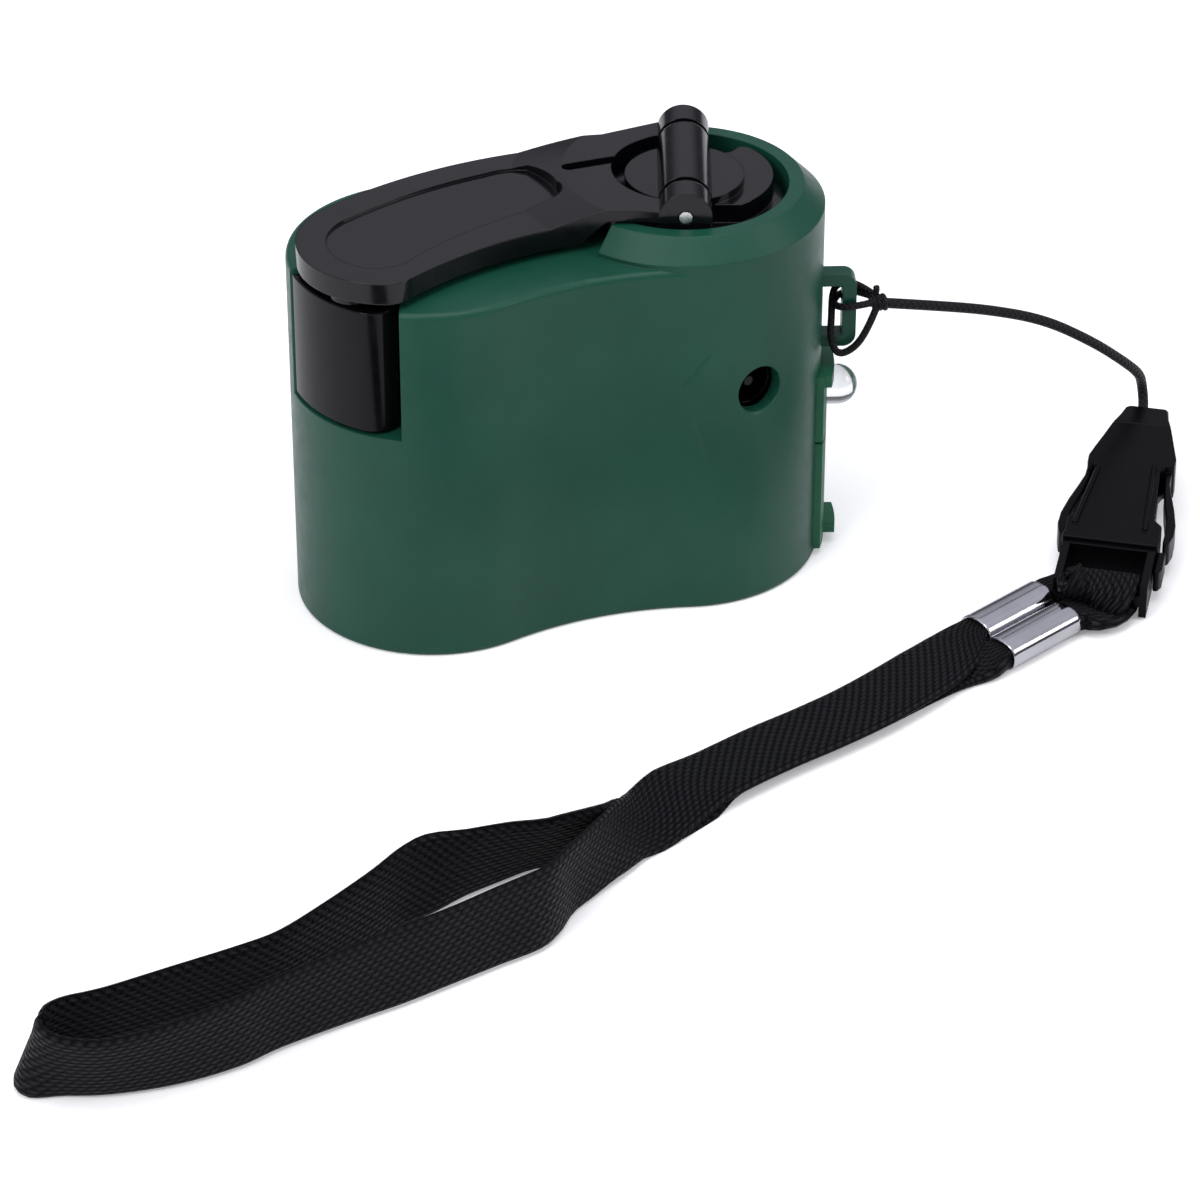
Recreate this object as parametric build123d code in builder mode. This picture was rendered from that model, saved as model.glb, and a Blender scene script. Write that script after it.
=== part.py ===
from build123d import *
from math import acos, atan2, cos, degrees, hypot, pi, radians, sin, sqrt, tan
import os

# Hand crank phone charger. Millimetres, +Z up, origin at the middle of the flat base.
# +X runs from the handle end to the crank hub, -Y is the waisted front.

# ---- housing ----
lobe_radius = 17.0
lobe_spacing = 32.3
waist_radius = 42.0
back_bulge = 1.2
deck_height = 47.0
rim_rise = 3.2
rim_height = deck_height + rim_rise
rim_chamfer = 2.6
wall = 1.8
deck_fillet = 0.8
foot_fillet = 0.6

# ---- crank well ----
well_radius = 12.6
well_depth = 2.4
well_floor = deck_height - well_depth
well_floor_thickness = 1.6
channel_start = 130.0
channel_end = 213.0

# ---- crank hinge, turned so that the folded arm lies along the body ----
hinge_angle = 19.5
pin_rise = 4.3
pin_height = deck_height + pin_rise
pin_radius = 0.8
knuckle_radius = 3.15
hinge_length = 23.4
hub_knuckle_length = 14.4
washer_thickness = 0.7
washer_radius = 2.7
hinge_gap = 0.1

# ---- crank hub ----
hub_disc_radius = 12.0
hub_disc_rise = 0.8
hub_disc_top = deck_height + hub_disc_rise
hub_disc_thickness = 2.6
hub_cap_radius = 7.2
hub_cap_rise = 4.2
hub_cap_top = deck_height + hub_cap_rise
hub_rest_reach = 10.7
hub_rest_back = 7.2
hub_rest_front = 6.3
hub_rest_ear = 8.8
hub_ear_corner = (-8.3, -8.3)
hub_ear_bend = -6.9
hub_back_start = -4.6
hub_shoulder = -6.6
hub_rest_lean = -0.9
arm_rest_gap = 0.35
crank_shaft_radius = 2.5
shaft_grip = 1.3
shaft_screw_head = 3.0
shaft_screw_height = 1.2
shaft_screw_length = 6.0
bush_radius = 3.6
bush_proud = 0.3
running_clearance = 0.05

# ---- crank arm ----
arm_gap = 1.0
arm_thickness = 2.7
arm_underside = deck_height + arm_gap
arm_top = arm_underside + arm_thickness
prong_thickness = 1.5
fork_radius = 8.8
arm_slope_end = 21.0
arm_clearance = 0.3
arm_slot_width = 1.7
arm_slot_length = 7.5
arm_slot_start = (2.2, 4.6)
arm_panel_depth = 0.3
arm_axle_grip = 1.5
arm_tip_back = (-27.0, 6.6)
arm_tip = (-33.0, -3.4)
arm_tip_front = (-26.0, -13.7)
arm_corner = (-24.2, -14.0)
arm_corner_end = (-22.4, -13.2)
arm_front_middle = (-10.2, -8.5)
arm_neck = (1.5, -7.4)
arm_neck_bend = (5.6, -8.3)
arm_shoulder = (9.6, 11.3)
arm_back_middle = (-10.0, 12.0)
arm_panel = [
    (-25.6, 3.0),
    (-29.4, -2.6),
    (-26.6, -9.2),
    (-23.6, -9.9),
    (-20.6, -8.6),
    (-10.4, -3.7),
    (-0.6, -1.2),
    (0.7, 0.1),
    (0.6, 1.9),
    (0.2, 5.6),
    (-1.0, 8.4),
    (-3.2, 9.0),
    (-6.0, 8.8),
    (-16.8, 6.6),
]

# ---- grip and its recess ----
recess_share = (0.1737, 0.303)
grip_share = 0.4128
recess_depth = 17.0
recess_floor = deck_height - recess_depth
recess_wall = 1.5
grip_clearance = 0.9
grip_floor_gap = 0.4
grip_drop = 0.6
grip_top = deck_height - grip_drop
grip_inset = 0.15
grip_corner = 1.8
grip_axle_radius = 1.5
grip_axle_wall = 3.25
grip_axle_angle = 52.6
grip_sink = 3.1
grip_screw_height = 1.8
grip_collar_gap = 0.3
grip_screw_head = 2.6
grip_collar_radius = 3.0

# ---- right end: port, lamp and lanyard eye ----
end_angle = -17.0
port_width = 5.7
port_height = 13.1
port_sink = 0.3
port_middle = 8.6
port_shell = 0.4
tongue_thickness = 1.9
tongue_width = 11.0
tongue_length = 9.0
tongue_offset = 0.6
port_room = 0.2
cover_width = 10.6
cover_bottom = 1.0
cover_fold = 16.2
cover_top = 25.4
cover_thickness = 1.3
cover_sunk = 0.5
cover_nub = 1.4
cover_nub_width = 5.0
cover_brow = 1.6
cover_brow_reach = 0.8
lamp_radius = 2.5
lamp_height = 21.6
lamp_reach = 4.6
lamp_length = 8.6
lamp_lead = 0.5
lamp_pitch = 2.54
eye_gap = 2.2
eye_height = 9.8
eye_bottom = cover_top + eye_gap
eye_top = eye_bottom + eye_height
eye_reach = 4.1
eye_bar = 1.7
eye_leg = 1.5
eye_depth = 2.5
eye_round = 1.6

# ---- charging jack ----
jack_angle = -77.0
jack_drop = 17.6
jack_height = deck_height - jack_drop
jack_radius = 3.0
jack_body = 8.0
jack_depth = 9.5
jack_pin_radius = 0.65
jack_bevel = 0.3
jack_shell = 0.25
jack_back = 1.5

# ---- bottom cover ----
cover_lip = 1.0
bottom_thickness = 1.8
cover_gap = 0.15
screw_boss_radius = 2.6
screw_boss_height = 12.0
screw_radius = 1.0
screw_head_radius = 1.9
screw_head_depth = 1.1
screw_socket_radius = 0.7
screw_socket_depth = 0.6

# ---- gear train ----
module = 0.6
pressure_angle = 20.0
addendum = 0.85
dedendum = 1.25
backlash = 0.16
drive_teeth = 44
small_teeth = 11
large_teeth = 36
rotor_teeth = 10
mesh_gap = 0.06
drive_drop = 8.5
drive_level = deck_height - drive_drop
drive_width = 3.0
large_drop = 13.4
large_level = deck_height - large_drop
large_width = 2.8
idler_angle = 164.0
rotor_angle = 192.0
axle_radius = 1.0
axle_boss_radius = 2.4
mesh_side_gap = 0.3
axle_drop = 2.8
axle_top = deck_height - axle_drop
plate_drop = 23.4
plate_level = deck_height - plate_drop
plate_thickness = 1.5
plate_post_radius = 2.4
low_post_x = 13.6
plate_screw_reach = 6.0
plate_edge_gap = 0.3
plate_cut = 10.0
gear_window_radius = 2.6
gear_window_circle = 7.8
gear_windows = 5

# ---- generator ----
stator_room = 6.6
stator_depth = 3.4
stator_radius = lobe_radius - stator_room
rotor_radius = stator_radius - stator_depth
air_gap = 0.5
stator_bottom = 8.0
stator_headroom = 3.6
stator_height = plate_level - stator_headroom - stator_bottom
stator_ring = 1.0
stator_poles = 6
pole_width = 3.0
coil_thickness = 1.0
coil_reach = 1.1

# ---- circuit board ----
board_offset = 2.0
board_thickness = 1.2
board_width = 15.0
board_bottom = 3.0
board_top = plate_level - plate_edge_gap

# ---- lanyard cord, looped round the eye and knotted ----
cord_diameter = 1.3
cord_hold = 3.0
loop_diameter = 0.7
knot_radius = 1.15
knot_place = (23.7, -0.2, 33.0)
upper_loop = [
    (23.7, -0.3, 33.2),
    (21.5, -1.8, 33.5),
    (19.2, -1.9, 33.3),
    (18.2, 0.0, 32.9),
    (19.2, 1.9, 33.3),
    (21.5, 1.8, 33.7),
    (23.7, 0.3, 33.3),
]
lower_loop = [
    (23.7, -0.6, 32.7),
    (22.6, -1.8, 30.4),
    (21.0, -2.3, 27.9),
    (18.8, -2.4, 26.9),
    (17.9, -2.3, 29.4),
    (18.1, -1.0, 31.6),
    (18.3, 0.9, 34.4),
    (19.6, 1.9, 34.9),
    (21.7, 1.8, 34.5),
    (23.7, 0.4, 33.5),
]
cord_bends = [
    (80.3, 1.6, 9.4),
    (78.3, -0.6, 12.0),
    (75.0, -2.4, 15.4),
    (69.8, -4.0, 20.0),
    (62.6, -4.7, 24.9),
    (54.6, -5.7, 28.3),
    (46.4, -6.8, 31.0),
    (38.7, -7.1, 33.0),
]

# ---- side release buckle, leaning up a little towards the cord ----
buckle_heading = 57.5
buckle_slope = 5.8
buckle_foot = (57.9, -34.5)
buckle_thickness = 5.2
buckle_width = 12.6
buckle_length = 40.0
socket_start = 12.4
socket_collar = 3.0
socket_waist = 10.6
socket_shoulder = 10.5
socket_top_width = 5.6
window_length = 7.5
window_width = 1.5
window_rail = 1.0
window_middle = 21.5
wing_width = 1.5
wing_spread = 14.2
wing_height = 3.6
wing_slit = 0.5
wing_tip_gap = 1.1
wing_head = 3.0
wing_ease = 0.4
wing_step = 0.2
wing_curl = 0.6
wing_root = 0.5
plug_frame_width = 11.5
plug_frame_height = 4.6
plug_window_width = 9.6
plug_window_length = 5.2
plug_bar_width = 2.0
plug_bar_height = 1.6
plug_reach = 11.0
plug_tongue_width = 8.2
plug_tongue_height = 3.0
plug_room = 0.15
plug_gap = 0.1

# ---- webbing wrist strap and its crimped tubes ----
webbing_width = 10.0
webbing_thickness = 1.2
webbing_lift = 0.05
crimp_length = 11.8
crimp_width = 5.0
crimp_height = 3.8
crimp_wall = 0.35
crimp_round = 1.0
crimp_heading = 203.4
crimp_starts = [(51.8, -30.9), (52.7, -36.3)]
crimp_fill = (3.8, 2.7)
crimp_lead = 0.3
crimp_lead_inside = 0.7
crimp_tail = 2.1
strap_sections = [
    (40.3, -39.3, 9.2),
    (29.7, -45.2, 10.6),
    (17.2, -49.5, 12.6),
    (4.0, -54.2, 14.8),
    (-9.4, -61.0, 14.8),
]
rear_twist = [(-9.2, -57.8, 8.0, 12), (-13.5, -61.0, 9.0, 50), (-17.6, -64.3, 10.0, 90)]
front_twist = [(-10.6, -64.2, 8.0, 12), (-15.6, -68.6, 9.0, 50), (-20.6, -72.4, 10.0, 90)]
wrist_loop = [
    (-17.2, -64.1),
    (-21.6, -66.0),
    (-28.6, -64.2),
    (-35.4, -61.8),
    (-42.6, -65.4),
    (-52.0, -72.6),
    (-62.0, -75.6),
    (-72.6, -76.4),
    (-82.4, -76.6),
    (-87.4, -80.4),
    (-82.6, -84.6),
    (-73.0, -86.2),
    (-62.0, -84.0),
    (-50.0, -80.8),
    (-38.2, -78.3),
    (-28.0, -75.4),
    (-20.2, -72.1),
]

os.makedirs("parts", exist_ok=True)

# ---------------------------------------------------------------- shared places
half_spacing = lobe_spacing / 2
hub_x = half_spacing
waist_y = -sqrt((lobe_radius + waist_radius) ** 2 - half_spacing**2)
back_top = lobe_radius + back_bulge
back_radius = (half_spacing**2 + back_top**2 - lobe_radius**2) / (2 * back_bulge)
back_y = back_top - back_radius
lobe_centre = (lobe_spacing * cos(radians(hinge_angle)), lobe_spacing * sin(radians(hinge_angle)))
recess_side = lobe_centre[0] + recess_share[0] * lobe_radius
recess_back = lobe_centre[1] + recess_share[1] * lobe_radius
hinge_plane = Plane(
    origin=(hub_x, 0, 0),
    x_dir=(-cos(radians(hinge_angle)), sin(radians(hinge_angle)), 0),
    z_dir=(0, 0, 1),
)


def kidney(inset):
    """The waisted outline of the body, drawn in by inset."""
    radius = lobe_radius - inset
    waist_share = half_spacing / (lobe_radius + waist_radius)
    front_x = half_spacing - waist_share * radius
    front_y = waist_y * radius / (lobe_radius + waist_radius)
    back_span = hypot(half_spacing, back_y)
    back_x = half_spacing * (1 + radius / back_span)
    back_edge = -back_y * radius / back_span
    with BuildSketch(mode=Mode.PRIVATE) as outline:
        with BuildLine():
            ThreePointArc((-back_x, back_edge), (0, back_top - inset), (back_x, back_edge))
            ThreePointArc((back_x, back_edge), (half_spacing + radius, 0), (front_x, front_y))
            ThreePointArc((front_x, front_y), (0, waist_y + waist_radius + inset), (-front_x, front_y))
            ThreePointArc((-front_x, front_y), (-half_spacing - radius, 0), (-back_x, back_edge))
        make_face()
    return outline.sketch


def hinge_corner(side, back):
    """The plan area beyond a distance from the crank pin and beyond one along it."""
    span = 40
    along = Vector(-cos(radians(hinge_angle)), sin(radians(hinge_angle)), 0)
    across = Vector(-sin(radians(hinge_angle)), -cos(radians(hinge_angle)), 0)
    corner = Vector(hub_x, 0, 0) + along * side + across * back
    with BuildSketch(mode=Mode.PRIVATE) as area:
        with BuildLine():
            Polyline(
                corner,
                corner + along * span,
                corner + along * span + across * span,
                corner + across * span,
                close=True,
            )
        make_face()
    return area.sketch


def wall_plane(angle, height, radius):
    """A plane whose z axis looks out of the hub lobe's wall at an angle, with y up."""
    turn = radians(angle)
    return Plane(
        origin=(hub_x + radius * cos(turn), radius * sin(turn), height),
        x_dir=(-sin(turn), cos(turn), 0),
        z_dir=(cos(turn), sin(turn), 0),
    )


def gear_points(teeth, phase):
    """Corner points of a spur gear with one tooth at the phase angle in degrees."""
    pitch = teeth * module / 2
    base = pitch * cos(radians(pressure_angle))
    tip = pitch + addendum * module
    root = pitch - dedendum * module
    involute_pitch = tan(radians(pressure_angle)) - radians(pressure_angle)
    half_tooth = (pi * module / 2 - backlash) / (2 * pitch)

    def half_angle(radius):
        slope = acos(min(1.0, base / max(radius, base)))
        return half_tooth + involute_pitch - (tan(slope) - slope)

    start = max(root, base)
    radii = [root, (start + pitch) / 2, (pitch + tip) / 2, tip]
    points = []
    for tooth in range(teeth):
        middle = radians(phase) + 2 * pi * tooth / teeth
        for radius in radii:
            points.append((radius, middle - half_angle(radius)))
        for radius in reversed(radii):
            points.append((radius, middle + half_angle(radius)))
    return [(radius * cos(turn), radius * sin(turn)) for radius, turn in points]


def gear_face(teeth, phase):
    """The face of a spur gear about its own centre."""
    with BuildSketch(mode=Mode.PRIVATE) as face:
        with BuildLine():
            Polyline(*gear_points(teeth, phase), close=True)
        make_face()
    return face.sketch


# ---------------------------------------------------------------- gear places
idler_distance = (drive_teeth + small_teeth) * module / 2 + mesh_gap
rotor_distance = (large_teeth + rotor_teeth) * module / 2 + mesh_gap
idler = (
    hub_x + idler_distance * cos(radians(idler_angle)),
    idler_distance * sin(radians(idler_angle)),
)
rotor = (
    idler[0] + rotor_distance * cos(radians(rotor_angle)),
    idler[1] + rotor_distance * sin(radians(rotor_angle)),
)


def bend_radii(points):
    """The radius of each corner of a route, as large as its two runs allow."""
    radii = []
    for before, corner, after in zip(points, points[1:], points[2:]):
        arriving = Vector(*corner) - Vector(*before)
        leaving = Vector(*after) - Vector(*corner)
        turn = radians(arriving.get_angle(leaving))
        radii.append(0.45 * min(arriving.length, leaving.length) / tan(turn / 2))
    return radii


# ---------------------------------------------------------------- housing
end_x = cos(radians(end_angle))
end_y = sin(radians(end_angle))
end_side = Plane(origin=(hub_x, 0, 0), x_dir=(end_x, end_y, 0), z_dir=(end_y, -end_x, 0))
end_top = Plane(origin=(hub_x, 0, 0), x_dir=(end_x, end_y, 0), z_dir=(0, 0, 1))
cavity_radius = lobe_radius - wall
roof = deck_height - wall
well_underside = well_floor - well_floor_thickness
plate_top = plate_level + plate_thickness
post_circle = cavity_radius - plate_post_radius + 0.3
waist_wall = waist_y + waist_radius + wall
back_wall = back_y + sqrt((back_radius - wall) ** 2 - low_post_x**2)
low_post = (low_post_x, back_wall - plate_post_radius + 0.4)
lobe_post = (
    post_circle * cos(radians(140)) - half_spacing,
    post_circle * sin(radians(140)),
)
axle_boss_end = drive_level + drive_width + mesh_side_gap
waist_post = (-2.0, waist_wall + plate_post_radius - 0.4)
plate_screw_places = [low_post, lobe_post, waist_post]
boss_circle = cavity_radius - screw_boss_radius + 0.7
screw_places = [
    (side * half_spacing + boss_circle * cos(radians(a)), boss_circle * sin(radians(a)))
    for side, a in ((1, 50), (1, -95), (-1, 128), (-1, -118))
]
jack_top = Plane(
    origin=(hub_x, 0, 0),
    x_dir=(cos(radians(jack_angle)), sin(radians(jack_angle)), 0),
    z_dir=(0, 0, 1),
)


def end_strip(inner, outer, width):
    """Plan area on the hub lobe's end between two radii, as wide as the strip."""
    with BuildSketch(mode=Mode.PRIVATE) as strip:
        Circle(outer)
        Circle(inner, mode=Mode.SUBTRACT)
        with Locations((outer, 0)):
            Rectangle(outer, width, mode=Mode.INTERSECT)
    return strip.sketch


with BuildPart() as housing:
    with BuildSketch():
        add(kidney(0))
    extrude(amount=deck_height)
    fillet(housing.faces().sort_by(Axis.Z)[-1].edges(), deck_fillet)
    fillet(housing.faces().sort_by(Axis.Z)[0].edges(), foot_fillet)
    with BuildSketch(Plane.XY.offset(deck_height - rim_chamfer)):
        with Locations((hub_x, 0)):
            Circle(lobe_radius)
    extrude(amount=rim_height - deck_height + rim_chamfer)
    chamfer(housing.faces().sort_by(Axis.Z)[-1].edges(), rim_chamfer)
    # channel beside the well where the folded arm lies
    with BuildSketch(Plane.XY.offset(deck_height)):
        with BuildLine():
            reach = lobe_radius + rim_chamfer
            first = radians(channel_start)
            last = radians(channel_end)
            Line((hub_x, 0), (hub_x + reach * cos(first), reach * sin(first)))
            ThreePointArc(
                (hub_x + reach * cos(first), reach * sin(first)),
                (hub_x - reach, 0),
                (hub_x + reach * cos(last), reach * sin(last)),
            )
            Line((hub_x + reach * cos(last), reach * sin(last)), (hub_x, 0))
        make_face()
    extrude(amount=rim_height, mode=Mode.SUBTRACT)
    # cavity, open below, with a step for the bottom cover
    with BuildSketch():
        add(kidney(wall))
    extrude(amount=well_underside, mode=Mode.SUBTRACT)
    with BuildSketch():
        add(kidney(cover_lip))
    extrude(amount=bottom_thickness, mode=Mode.SUBTRACT)
    with BuildSketch(Plane.XY.offset(well_underside)):
        add(kidney(wall))
        with Locations((hub_x, 0)):
            Circle(well_radius + wall, mode=Mode.SUBTRACT)
    extrude(amount=roof - well_underside, mode=Mode.SUBTRACT)
    with BuildSketch(Plane.XY.offset(well_floor)):
        with Locations((hub_x, 0)):
            Circle(well_radius)
    extrude(amount=rim_height, mode=Mode.SUBTRACT)
    with BuildSketch(Plane.XY.offset(well_underside)):
        with Locations((hub_x, 0)):
            Circle(bush_radius)
    extrude(amount=well_floor_thickness, mode=Mode.SUBTRACT)
    # grip recess at the front of the left lobe, walled off from the cavity
    with BuildSketch(Plane.XY.offset(recess_floor - recess_wall)):
        add(kidney(wall / 2))
        add(hinge_corner(recess_side - recess_wall, recess_back - recess_wall), mode=Mode.INTERSECT)
    extrude(amount=deck_height - wall / 2 - recess_floor + recess_wall)
    with BuildSketch(Plane.XY.offset(recess_floor)):
        add(hinge_corner(recess_side, recess_back))
    extrude(amount=rim_height, mode=Mode.SUBTRACT)
    # posts for the gear plate and the idler's pin, bosses for the cover screws
    with BuildSketch(Plane.XY.offset(plate_top)):
        with Locations(low_post):
            Circle(plate_post_radius)
    extrude(amount=drive_level - 1.5 - plate_top)
    with BuildSketch(Plane.XY.offset(plate_top)):
        with Locations(lobe_post, waist_post):
            Circle(plate_post_radius)
    extrude(amount=roof - plate_top)
    with BuildSketch(Plane.XY.offset(axle_boss_end)):
        with Locations(idler):
            Circle(axle_boss_radius)
    extrude(amount=roof - axle_boss_end)
    with BuildSketch(Plane.XY.offset(bottom_thickness)):
        with Locations(*screw_places):
            Circle(screw_boss_radius)
    extrude(amount=screw_boss_height)
    with BuildSketch(Plane.XY.offset(bottom_thickness)):
        with Locations(*screw_places):
            Circle(screw_radius)
    extrude(amount=screw_boss_height - 2, mode=Mode.SUBTRACT)
    with BuildSketch(Plane.XY.offset(plate_top)):
        with Locations(*plate_screw_places):
            Circle(screw_radius)
    extrude(amount=plate_screw_reach, mode=Mode.SUBTRACT)
    with BuildSketch(Plane.XY.offset(drive_level)):
        with Locations(idler):
            Circle(axle_radius)
    extrude(amount=axle_top - drive_level, mode=Mode.SUBTRACT)
    # lanyard eye: a staple with rounded corners
    with BuildSketch(end_side):
        with BuildLine():
            eye_out = lobe_radius + eye_reach
            eye_in = lobe_radius - wall / 2
            FilletPolyline(
                (eye_in, eye_bottom),
                (eye_out, eye_bottom),
                (eye_out, eye_top),
                (eye_in, eye_top),
                radius=eye_round,
            )
            Line((eye_in, eye_top), (eye_in, eye_bottom))
        make_face()
        with Locations(((eye_out - eye_bar + eye_in) / 2, (eye_bottom + eye_top) / 2)):
            Rectangle(eye_out - eye_bar - eye_in, eye_top - eye_bottom - 2 * eye_leg, mode=Mode.SUBTRACT)
    extrude(amount=eye_depth / 2, both=True)
    # seat of the rubber cover, port window, lamp hole and jack hole
    with BuildSketch(end_top.offset(cover_bottom - port_room)):
        add(end_strip(lobe_radius - cover_sunk, lobe_radius + eye_reach, cover_width + 2 * port_room))
    extrude(amount=cover_top - cover_bottom + 2 * port_room, mode=Mode.SUBTRACT)
    with BuildSketch(wall_plane(end_angle, port_middle, cavity_radius - 1)):
        Rectangle(port_width + 2 * port_room, port_height + 2 * port_room)
    extrude(amount=wall + 2, mode=Mode.SUBTRACT)
    with BuildSketch(wall_plane(end_angle, lamp_height, cavity_radius - 1)):
        Circle(lamp_radius + port_room / 2)
    extrude(amount=wall + 2, mode=Mode.SUBTRACT)
    with BuildSketch(wall_plane(jack_angle, jack_height, cavity_radius - 1)):
        Circle(jack_radius)
    extrude(amount=wall + 2, mode=Mode.SUBTRACT)
    with BuildSketch(wall_plane(jack_angle, jack_height, lobe_radius + jack_bevel)):
        Circle(jack_radius + 2 * jack_bevel)
    extrude(amount=-3 * jack_bevel, taper=45, mode=Mode.SUBTRACT)
housing.part.label = "housing"
export_step(housing.part, "parts/housing.step")

# ---------------------------------------------------------------- bottom cover and screws
with BuildPart() as bottom_cover:
    with BuildSketch():
        add(kidney(cover_lip + cover_gap))
    extrude(amount=bottom_thickness - 0.05)
    # bearing of the rotor shaft and the seat of the generator
    with BuildSketch(Plane.XY.offset(bottom_thickness / 2)):
        with Locations(rotor):
            Circle(stator_radius)
            Circle(stator_radius - stator_ring, mode=Mode.SUBTRACT)
            Circle(axle_boss_radius)
    extrude(amount=stator_bottom - 0.02 - bottom_thickness / 2)
    with BuildSketch(Plane.XY.offset(bottom_thickness)):
        with Locations(rotor):
            Circle(axle_radius + running_clearance)
    extrude(amount=stator_bottom, mode=Mode.SUBTRACT)
    with Locations(*[Location((x, y, 0), (180, 0, 0)) for x, y in screw_places]):
        CounterSinkHole(screw_radius + cover_gap, screw_head_radius, bottom_thickness)
bottom_cover.part.label = "bottom_cover"
export_step(bottom_cover.part, "parts/bottom_cover.step")

on_base = (Align.CENTER, Align.CENTER, Align.MIN)
with BuildPart() as cover_screws:
    with Locations(*screw_places):
        Cone(screw_head_radius - cover_gap, screw_radius - cover_gap, screw_head_depth, align=on_base)
        Cylinder(screw_radius - cover_gap, screw_boss_height - 2, align=on_base)
    with Locations(*screw_places):
        Cylinder(screw_socket_radius, screw_socket_depth, align=on_base, mode=Mode.SUBTRACT)
cover_screws.part.label = "cover_screws"
export_step(cover_screws.part, "parts/cover_screws.step")

# ---------------------------------------------------------------- gear plate and axles
with BuildPart() as gear_plate:
    with BuildSketch(Plane.XY.offset(plate_level)):
        add(kidney(wall + plate_edge_gap))
        with Locations(end_top.location):
            with Locations((plate_cut, 0)):
                Rectangle(
                    2 * lobe_radius,
                    2 * lobe_radius,
                    align=(Align.MIN, Align.CENTER),
                    mode=Mode.SUBTRACT,
                )
        with Locations(*plate_screw_places):
            Circle(screw_radius + cover_gap, mode=Mode.SUBTRACT)
    extrude(amount=plate_thickness - 0.05)
    with BuildSketch(Plane.XY.offset(plate_level)):
        with Locations(idler, rotor):
            Circle(axle_boss_radius)
    extrude(amount=large_level - mesh_side_gap - plate_level)
    with BuildSketch(Plane.XY.offset(plate_level)):
        with Locations(idler):
            Circle(axle_radius)
        with Locations(rotor):
            Circle(axle_radius + running_clearance)
    extrude(amount=large_level, mode=Mode.SUBTRACT)
gear_plate.part.label = "gear_plate"
export_step(gear_plate.part, "parts/gear_plate.step")

with BuildPart() as plate_screws:
    with BuildSketch(Plane.XY.offset(plate_level - screw_head_depth - 0.02)):
        with Locations(*plate_screw_places):
            Circle(screw_head_radius)
    extrude(amount=screw_head_depth)
    with BuildSketch(Plane.XY.offset(plate_level - screw_head_depth)):
        with Locations(*plate_screw_places):
            Circle(screw_radius - cover_gap)
    extrude(amount=screw_head_depth + plate_thickness + plate_screw_reach - 1)
plate_screws.part.label = "plate_screws"
export_step(plate_screws.part, "parts/plate_screws.step")

with BuildPart() as idler_axle:
    with BuildSketch(Plane.XY.offset(plate_level)):
        with Locations(idler):
            Circle(axle_radius - 0.02)
    extrude(amount=axle_top - 0.3 - plate_level)
idler_axle.part.label = "idler_axle"
export_step(idler_axle.part, "parts/idler_axle.step")

# ---------------------------------------------------------------- gears in mesh
to_idler = degrees(atan2(idler[1], idler[0] - hub_x))
to_rotor = degrees(atan2(rotor[1] - idler[1], rotor[0] - idler[0]))

with BuildPart() as drive_gear:
    with BuildSketch(Plane.XY.offset(drive_level)):
        with Locations((hub_x, 0)):
            add(gear_face(drive_teeth, to_idler))
            Circle(crank_shaft_radius, mode=Mode.SUBTRACT)
            with PolarLocations(gear_window_circle, gear_windows):
                Circle(gear_window_radius, mode=Mode.SUBTRACT)
    extrude(amount=drive_width)
drive_gear.part.label = "drive_gear"
export_step(drive_gear.part, "parts/drive_gear.step")

with BuildPart() as idler_gear:
    with BuildSketch(Plane.XY.offset(large_level)):
        with Locations(idler):
            add(gear_face(large_teeth, to_rotor))
            Circle(axle_radius + running_clearance, mode=Mode.SUBTRACT)
    extrude(amount=large_width)
    with BuildSketch(Plane.XY.offset(large_level + large_width)):
        with Locations(idler):
            add(gear_face(small_teeth, to_idler + 180 + 180 / small_teeth))
            Circle(axle_radius + running_clearance, mode=Mode.SUBTRACT)
    extrude(amount=drive_level + drive_width - large_level - large_width)
idler_gear.part.label = "idler_gear"
export_step(idler_gear.part, "parts/idler_gear.step")

with BuildPart() as rotor_pinion:
    with BuildSketch(Plane.XY.offset(large_level)):
        with Locations(rotor):
            add(gear_face(rotor_teeth, to_rotor + 180 + 180 / rotor_teeth))
            Circle(axle_radius, mode=Mode.SUBTRACT)
    extrude(amount=large_width + 0.6)
rotor_pinion.part.label = "rotor_pinion"
export_step(rotor_pinion.part, "parts/rotor_pinion.step")

# ---------------------------------------------------------------- generator
with BuildPart() as rotor_shaft:
    with BuildSketch(Plane.XY.offset(bottom_thickness + 0.2)):
        with Locations(rotor):
            Circle(axle_radius)
    extrude(amount=large_level + large_width + 1.2 - bottom_thickness - 0.2)
rotor_shaft.part.label = "rotor_shaft"
export_step(rotor_shaft.part, "parts/rotor_shaft.step")

with BuildPart() as rotor_magnet:
    with BuildSketch(Plane.XY.offset(stator_bottom + mesh_side_gap)):
        with Locations(rotor):
            Circle(rotor_radius)
            Circle(axle_radius, mode=Mode.SUBTRACT)
    extrude(amount=stator_height - 2 * mesh_side_gap)
rotor_magnet.part.label = "rotor_magnet"
export_step(rotor_magnet.part, "parts/rotor_magnet.step")

pole_tip = rotor_radius + air_gap
with BuildPart() as stator:
    with BuildSketch(Plane.XY.offset(stator_bottom)):
        with Locations(rotor):
            Circle(stator_radius)
            Circle(stator_radius - stator_ring, mode=Mode.SUBTRACT)
            with PolarLocations((stator_radius - stator_ring / 2 + pole_tip) / 2, stator_poles):
                Rectangle(stator_radius - stator_ring / 2 - pole_tip + 1, pole_width)
            Circle(pole_tip, mode=Mode.SUBTRACT)
    extrude(amount=stator_height)
stator.part.label = "stator"
export_step(stator.part, "parts/stator.step")

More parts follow.
